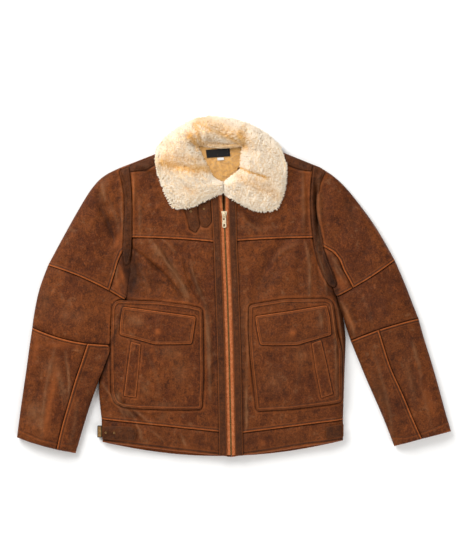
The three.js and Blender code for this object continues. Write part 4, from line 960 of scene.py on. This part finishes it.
thread = Finish("waxed_thread", Specular_IOR_Level=0.3)
thread_finish = thread.wear(thread.mix(thread.noise(0.002), paint("3a2011"), paint("6a4024")), 0.6)
stitch_vertices = []
stitch_faces = []
stitch_pitch = 3.8
longest_gap = 8
above_leather = 0.05
stitch_rings = [(0.1, 0.22), (0.5, 0.46), (0.9, 0.22)]
for line, piece, closed in seam_rows:
    if len(line) < 3:
        continue
    if closed:
        line = np.concatenate([line, line[:1]])
    gaps = np.linalg.norm(np.diff(line, axis=0), axis=1)
    for stretch in np.split(line, np.nonzero(gaps > longest_gap)[0] + 1):
        if len(stretch) < 3:
            continue
        stretch = even(stretch, stitch_pitch)
        height = surface_under([piece])
        tops = [height(x, y) for x, y in stretch]
        for i in range(len(stretch) - 1):
            if tops[i] is None or tops[i + 1] is None:
                continue
            a = Vector((*stretch[i], tops[i] + above_leather))
            b = Vector((*stretch[i + 1], tops[i + 1] + above_leather))
            way = (b - a).normalized()
            side = way.cross(Vector((0, 0, 1))).normalized()
            up = side.cross(way)
            start = len(stitch_vertices)
            for share, size in stitch_rings:
                middle = a.lerp(b, share)
                for k in range(4):
                    out = side * math.cos(k * math.pi / 2) + up * math.sin(k * math.pi / 2)
                    stitch_vertices.append(tuple((middle + out * size) / 1000))
            stitch_faces.append((start + 3, start + 2, start + 1, start))
            stitch_faces.append((start + 8, start + 9, start + 10, start + 11))
            for ring in (0, 4):
                for k in range(4):
                    p, q = start + ring + k, start + ring + (k + 1) % 4
                    stitch_faces.append((p, q, q + 4, p + 4))
stitches = mesh_piece("topstitching", stitch_vertices, stitch_faces)
stitches.data.materials.append(thread_finish)
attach(stitches, "coat")

# The zip: woven copper tapes beside a chain of antiqued brass teeth, with a pale slider and pull. The
# tapes and the teeth follow the zip's middle line; slider, pull and buckle are their solids, softened.
tape_finish = Finish("copper_tape", Specular_IOR_Level=0.3)
ribs = tape_finish.add(
    "TexWave", {"wave_type": "BANDS", "bands_direction": "Y"},
    {"Vector": tape_finish.place(), "Scale": 420, "Distortion": 0.4},
)
clouded = tape_finish.noise(0.006).between(0.35, 0.7)
tape_tone = tape_finish.mix(clouded, paint("c06634"), paint("d98350"))
tape_tone = tape_finish.mix(ribs * 0.3, tape_tone, paint("9a4f26"))
copper_tape = tape_finish.wear(tape_tone, 0.75, (ribs, 0.0003))
zip_gaps = [(-384, 0.3), (158, 0.3), (168, 1.2), (190, 2.5), (222, 2.6)]


def zip_gap(y):
    return float(np.interp(y, [y for y, _ in zip_gaps], [gap for _, gap in zip_gaps]))


# A tape's section: how far each corner lies beyond the zip's gap, and its height.
tape_section = [
    (1.5, 21.2), (1.5, 22.7), (2.0, 23.0), (5.2, 23.2), (8.4, 23.0), (8.9, 22.7), (8.9, 21.2)
]
for side, sign in (("right", -1), ("left", 1)):
    vertices = []
    faces = []
    rows = np.linspace(-378.5, 213.5, 150)
    for y in rows:
        middle = zip_x(y)
        for across, z in tape_section:
            vertices.append(((middle + sign * (across + zip_gap(y))) / 1000, y / 1000, z / 1000))
    width = len(tape_section)
    for i in range(len(rows) - 1):
        for k in range(width):
            j = (k + 1) % width
            face = (i * width + k, i * width + j, (i + 1) * width + j, (i + 1) * width + k)
            faces.append(face if sign > 0 else face[::-1])
    last = (len(rows) - 1) * width
    ends = [tuple(range(width))[::-1], tuple(range(last, last + width))]
    faces += ends if sign > 0 else [end[::-1] for end in ends]
    tape = mesh_piece(f"tape_{side}", vertices, faces)
    tape.data.materials.append(copper_tape)
    select(tape)
    bpy.ops.object.mode_set(mode="EDIT")
    bpy.ops.mesh.select_all(action="SELECT")
    bpy.ops.mesh.normals_make_consistent(inside=False)
    bpy.ops.object.mode_set(mode="OBJECT")
    bpy.ops.object.shade_smooth_by_angle(angle=math.radians(40))
    belong(tape, f"zip_tape_{side}")


def metal(name, light, dark, roughness, metallic):
    finish = Finish(name, Metallic=metallic)
    age = finish.noise(0.003, 5, 0.6)
    tone = finish.mix(age.between(0.35, 0.7), paint(light), paint(dark))
    # Painted shade, near black, wherever a piece asks for it: the buckle gets it towards its outer
    # edges.
    tone = finish.mix(finish.own("soil"), tone, paint("1c140c"))
    return finish.wear(tone, roughness + 0.25 * age, (finish.noise(0.0008), 0.00004))


antique_brass = metal("antique_brass", "b98f55", "7d5a34", 0.35, 0.55)
pale_brass = metal("pale_brass", "f8e8c8", "dcc49a", 0.25, 0.6)


def teeth(name, node, from_y, to_y, sides, inner):
    """A row of rounded teeth, from arrays of one tooth's corners, set inner beyond the zip's gap."""
    pitch = 2.6
    wide, long, low, tall, shoulder = 1.9, 1.2, 20.5, 23.9, 0.25
    corners = []
    for z, inset in [(low, 0), (tall - 0.5, 0), (tall, shoulder)]:
        corners += [(inset, -long / 2 + inset, z), (wide - inset, -long / 2 + inset, z)]
        corners += [(wide - inset, long / 2 - inset, z), (inset, long / 2 - inset, z)]
    faces = [(3, 2, 1, 0), (8, 9, 10, 11)]
    for ring in (0, 4):
        sides_of_ring = [(ring + i, ring + (i + 1) % 4) for i in range(4)]
        faces += [(p, q, q + 4, p + 4) for p, q in sides_of_ring]
    vertices = []
    polygons = []
    for i in range(int((to_y - from_y) / pitch)):
        for side in sides:
            y = from_y + (i + (0.5 if side > 0 else 0.0)) * pitch + 0.6
            if y + long > to_y:
                continue
            start = len(vertices)
            near = zip_gap(y) + inner
            for cx, cy, cz in corners:
                vertices.append(((zip_x(y) + side * (near + cx)) / 1000, (y + cy) / 1000, cz / 1000))
            polygons += [tuple(start + k for k in (face if side > 0 else face[::-1])) for face in faces]
    piece = mesh_piece(name, vertices, polygons)
    piece.data.materials.append(antique_brass)
    belong(piece, node)


teeth("zip_teeth_closed", "zip_chain", -378, 164, (-1, 1), -0.3)
teeth("zip_teeth_open_right", "zip_half_right", 169, 214, (-1,), 0)
teeth("zip_teeth_open_left", "zip_half_left", 169, 214, (1,), 0)
pull_holes = [((224.0, 226.0), 1.9, 1.9), ((223.9, 219.2), 1.8, 2.6)]
for node, body, slot in [
    ("zip_slider", "coat", "pale_brass"),
    ("zip_pull", "zip_pull", "pale_brass"),
    ("side_buckle", "coat", "antique_brass"),
]:
    piece = copy_of(f"metal_{node}", node, 2 if node == "side_buckle" else 0)
    for (u, v), half_x, half_y in pull_holes if node == "zip_pull" else []:
        x, y = at(u, v)
        place = (x / 1000, y / 1000, 0.0275)
        bpy.ops.mesh.primitive_cylinder_add(vertices=24, radius=1, depth=0.02, location=place)
        cutter = bpy.context.object
        cutter.scale = (half_x / 1000, half_y / 1000, 1)
        bpy.ops.object.transform_apply(location=True, rotation=True, scale=True)
        cut = piece.modifiers.new("cut", "BOOLEAN")
        cut.operation = "DIFFERENCE"
        cut.object = cutter
        select(piece)
        bpy.ops.object.modifier_apply(modifier=cut.name)
        bpy.data.objects.remove(cutter)
    soften = piece.modifiers.new("soften", "BEVEL")
    soften.width = 0.00025
    soften.segments = 2
    soften.limit_method = "ANGLE"
    soften.angle_limit = math.radians(35)
    bpy.ops.object.modifier_apply(modifier=soften.name)
    if node == "side_buckle":
        # Painted shade towards the buckle's outer edges.
        points = points_of(piece)[0]
        edge = np.minimum(points - points.min(axis=0), points.max(axis=0) - points)[:, :2].min(axis=1)
        note(piece, soil=np.clip(1.5 - edge / 2.0, 0, 1))
    piece.data.materials.append(antique_brass if slot == "antique_brass" else pale_brass)
    bpy.ops.object.shade_smooth_by_angle(angle=math.radians(35))
    belong(piece, node, body)

# Eyelets on the tabs: small rings of the buckle's brass set into the leather, each a turned ring round
# a dark plug. They sit at the height of their tab.
hole_finish = Finish("hole_dark", Specular_IOR_Level=0.1)
hole_tone = hole_finish.mix(hole_finish.noise(0.001), paint("120a06"), paint("20140c"))
eyelet_dark = hole_finish.wear(hole_tone, 0.9)
for u, v, node in [
    (106, 432.3, "hem_tab_right"), (114.5, 432.6, "hem_tab_right"),
    (204, 209, "throat_tab_short"), (191, 211.5, "throat_tab_long"),
]:
    x, y = at(u, v)
    top = surface_under([panels[node]])(x, y)
    for ring in ("rim", "hole"):
        if ring == "rim":
            bpy.ops.mesh.primitive_torus_add(
                major_radius=0.0017, minor_radius=0.00055, major_segments=20, minor_segments=8,
                location=(x / 1000, y / 1000, (top + 0.15) / 1000),
            )
        else:
            bpy.ops.mesh.primitive_cylinder_add(
                vertices=20, radius=0.0016, depth=0.0006, location=(x / 1000, y / 1000, top / 1000),
            )
        eyelet = bpy.context.object
        bpy.ops.object.transform_apply(location=True, rotation=True, scale=True)
        eyelet.name = f"eyelet_{ring}_{node}_{round(u)}"
        eyelet.data.name = eyelet.name
        bpy.ops.object.shade_smooth_by_angle(angle=math.radians(50))
        eyelet.data.materials.append(antique_brass if ring == "rim" else eyelet_dark)
        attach(eyelet, "coat")

# The label and the small tag in the neck, both plain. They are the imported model's own solids, in
# woven black and woven off-white cloth.
for node, colour, thread_colour in [
    ("neck_label", "141313", "3a3a3a"),
    ("size_tag", "e4e3df", "bdbcb8"),
]:
    cloth = Finish(f"{node}_cloth", Specular_IOR_Level=0.2)
    threads = cloth.add(
        "TexWave", {"wave_type": "BANDS", "bands_direction": "X"},
        {"Vector": cloth.place(), "Scale": 700},
    )
    tone = cloth.mix(threads * 0.35, paint(colour), paint(thread_colour))
    cloth.wear(tone, 0.85, (threads, 0.0001))
    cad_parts[node].data.materials.clear()
    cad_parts[node].data.materials.append(cloth.material)

# Fleece: the deep collar pile and the short pile inside the back, sheared sheepskin whose tips are
# cream and roots golden. Each is a soft base with curved tufts standing on it.
fleece_finish = Finish("cream_fleece", Specular_IOR_Level=0.1)
tip = fleece_finish.own("tip")
gold = fleece_finish.own("gold")
tint = fleece_finish.own("tint")
pile_tone = fleece_finish.mix(tip.between(0.0, 0.75), paint("f8d8a6"), paint("fff1dc"))
# Gold: the pile's golden roots in its folds, and painted shade in warm gold along the collar's rolls.
pile_tone = fleece_finish.mix((gold * (1.25 - 0.45 * tip)).held(), pile_tone, paint("eab052"))
pile_tone = fleece_finish.mix(tint * 0.35, pile_tone, paint("efcfae"))
# Painted shade in warm brown: none on the collar, an even share on the back lining's pile inside the
# coat.
pile_tone = fleece_finish.mix(fleece_finish.own("soil"), pile_tone, paint("b07c3c"))
cream_fleece = fleece_finish.wear(pile_tone, 0.95)

# The collar's folds, in the photograph's pixels: from, to and sideways bow, then width and depth in
# millimetres, and how golden the pile shows in them: partly its golden roots, and partly painted shade
# in warm gold along the rolls' inner sides and at the stand's ends.
collar_creases = [
    (163, 163, 206, 170, 2, 11, 4, 0.85), (166, 156, 198, 160, 2, 9, 2, 0.45),
    (168, 166, 190, 166, 1, 3, 2, 0.5), (241, 168, 268, 178, 1.5, 4, 5, 1.0),
    (255, 175, 257, 181, 0, 3, 2, 0.6), (238, 176, 272, 192, 3, 9, 2, 0.45),
    (262, 180, 276, 196, 1, 10, 1, 0.3), (198, 124, 216, 132, 1, 6, 3, 0.75),
    (216, 132, 240, 143, -1, 6, 3, 0.85), (200, 120, 240, 138, 0, 13, 0, 0.5),
    (200, 142, 240, 146, 0, 6, 0, 0.7), (190, 137, 198, 147, 0, 9, 0, 0.9),
    (240, 135, 246, 147, 0, 9, 0, 0.9), (204, 128, 212, 142, 0, 9, 1, 0.35),
    (195, 126, 206, 160, -3, 6, 1.5, 0.8), (186, 188, 194, 193, 0, 6, 2, 0.35),
    (243, 128, 241, 160, 1, 6, 1, 0.4), (180, 135, 186, 160, 1, 6, 1, 0.15),
    (170, 145, 180, 160, 1, 10, 1, 0.3),
]


def pile_form(points):
    """How deep the collar's folds are at each point, and how golden the pile shows there."""
    depth = np.zeros(len(points))
    golden = np.zeros(len(points))
    for u0, v0, u1, v1, bow, width, deep, strength in collar_creases:
        steps = [i / 8 for i in range(9)]
        line = traced([(u0 + (u1 - u0) * t, v0 + (v1 - v0) * t + bow * 4 * t * (1 - t)) for t in steps])
        away = distance(points, line)
        depth += bells(away, [(deep, 0, width)])
        golden = np.maximum(golden, bells(away, [(strength, 0, 1.15 * width)]))
    return depth, golden


def tufts(name, base, node, count, length, radius, seed, from_x=-999, to_x=999):
    """Leaning three-sided tufts on a base's visible faces, gathered into small locks."""
    per_lock = 14
    gathered, swept, stray = 0.55, 0.3, 0.16
    from_surface, from_tuft = 0.24, 0.14
    dice = np.random.default_rng(seed)
    mesh = base.data
    mesh.calc_loop_triangles()
    corners = np.empty(len(mesh.loop_triangles) * 3, dtype=np.int64)
    mesh.loop_triangles.foreach_get("vertices", corners)
    corners = corners.reshape(-1, 3)
    points, normals = points_of(base)
    a, b, c = (points[corners[:, k]] for k in range(3))
    cross = np.cross(b - a, c - a)
    area = np.linalg.norm(cross, axis=1) / 2
    facing = cross[:, 2] / (2 * area + 1e-9)
    middle = (a + b + c) / 3
    shown = (facing > -0.5) & (middle[:, 2] > 9)
    shown &= (middle[:, 0] > from_x) & (middle[:, 0] < to_x)
    weight = np.where(shown, area, 0)
    chosen = dice.choice(len(area), count, p=weight / weight.sum())
    s = np.sqrt(dice.random(count))[:, None]
    t = dice.random(count)[:, None]
    root = a[chosen] * (1 - s) + b[chosen] * s * (1 - t) + c[chosen] * s * t
    va, vb, vc = (normals[corners[chosen, k]] for k in range(3))
    up = va * (1 - s) + vb * s * (1 - t) + vc * s * t
    up /= np.linalg.norm(up, axis=1)[:, None]
    locks = root[dice.choice(count, max(8, count // per_lock), replace=False)]
    tree = kdtree.KDTree(len(locks))
    for i, point in enumerate(locks):
        tree.insert(point, i)
    tree.balance()
    nearest = np.array([locks[tree.find(point)[1]] for point in root])
    gather = nearest - root
    swirl = [waves(root, 60, 25, 8, seed + 1), waves(root, 60, 25, 8, seed + 2), np.zeros(count)]
    side = gather / length * gathered + np.stack(swirl, axis=1) * swept
    side += dice.normal(0, stray, (count, 3))
    side -= up * (side * up).sum(axis=1)[:, None]
    tall = length * dice.uniform(0.75, 1.1, count)[:, None]
    frame_a = np.cross(up, np.array([0.31, 0.87, 0.38]))
    frame_a /= np.linalg.norm(frame_a, axis=1)[:, None]
    frame_b = np.cross(up, frame_a)
    spin = dice.uniform(0, 2 * math.pi, count)
    rings = []
    for share, width in [(0.0, 1.0), (0.6, 0.8)]:
        centre = root + up * tall * (share - 0.25 * share ** 2) + side * tall * share ** 1.8
        for k in range(3):
            turn = (spin + k * 2 * math.pi / 3)[:, None]
            rings.append(centre + (frame_a * np.cos(turn) + frame_b * np.sin(turn)) * radius * width)
    rings.append(root + up * tall * 0.8 + side * tall)
    vertices = np.stack(rings, axis=1)
    faces = [(2, 1, 0)]
    for k in range(3):
        j = (k + 1) % 3
        faces += [(k, j, 3 + j), (k, 3 + j, 3 + k), (3 + k, 3 + j, 6)]
    triangles = (np.arange(count)[:, None, None] * 7 + np.array(faces)[None]).reshape(-1, 3)
    piece = mesh_piece(name, (vertices.reshape(-1, 3) / 1000).tolist(), triangles.tolist())
    tips = np.tile([0, 0, 0, 0.65, 0.65, 0.65, 1], count)
    golden = np.repeat(pile_form(root)[1], 7) if node == "collar" else 0.8
    tints = np.repeat(dice.random(count) ** 2, 7)
    note(piece, tip=tips, gold=golden, tint=tints, soil=0.0 if node == "collar" else 0.3)
    piece.data.materials.append(cream_fleece)
    piece.data.polygons.foreach_set("use_smooth", [True] * len(piece.data.polygons))
    lean_out = vertices - vertices[:, :3].mean(axis=1)[:, None]
    lean_out /= np.linalg.norm(lean_out, axis=2)[:, :, None] + 1e-6
    soft = from_surface * up[:, None] + np.array([0, 0, 1.0]) + from_tuft * lean_out
    soft /= np.linalg.norm(soft, axis=2)[:, :, None]
    piece.data.normals_split_custom_set_from_vertices(soft.reshape(-1, 3).tolist())
    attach(piece, "coat")


def fleece_base(node, levels, sink, roughness):
    """The soft body of the pile: its solid's form, sunk by most of the pile's length and lumpy."""
    piece = copy_of(f"{node}_base", node, levels)
    points, normals = points_of(piece)
    upper = np.clip(normals[:, 2] * 2 + 0.5, 0, 1)
    depth, golden = pile_form(points) if node == "collar" else (0, 0.8)
    lumps = 1.0 * waves(points, 30, 14, 12, 21) + 0.5 * waves(points, 12, 7, 12, 22)
    lowered = sink * upper + depth * np.clip(normals[:, 2], 0, 1) - lumps * roughness * upper
    points -= normals * lowered[:, None]
    shape(piece, points)
    note(piece, tip=0.4, gold=golden, tint=0.2, soil=0.0 if node == "collar" else 0.3)
    piece.data.materials.append(cream_fleece)
    piece.data.polygons.foreach_set("use_smooth", [True] * len(piece.data.polygons))
    belong(piece, node)
    return piece


collar_base = fleece_base("collar", 2, 5.0, 1.0)
fur_count = 9500
pile_count = 3500
tufts("collar_fur_right", collar_base, "collar", fur_count, 6.9, 1.0, 31, to_x=-62)
tufts("collar_fur_middle", collar_base, "collar", fur_count, 6.9, 1.0, 32, from_x=-62, to_x=28)
tufts("collar_fur_left", collar_base, "collar", fur_count, 6.9, 1.0, 33, from_x=28)
lining_base = fleece_base("back_lining", 2, 1.2, 0.4)
tufts("back_lining_pile", lining_base, "back_lining", pile_count, 3.0, 0.6, 41)
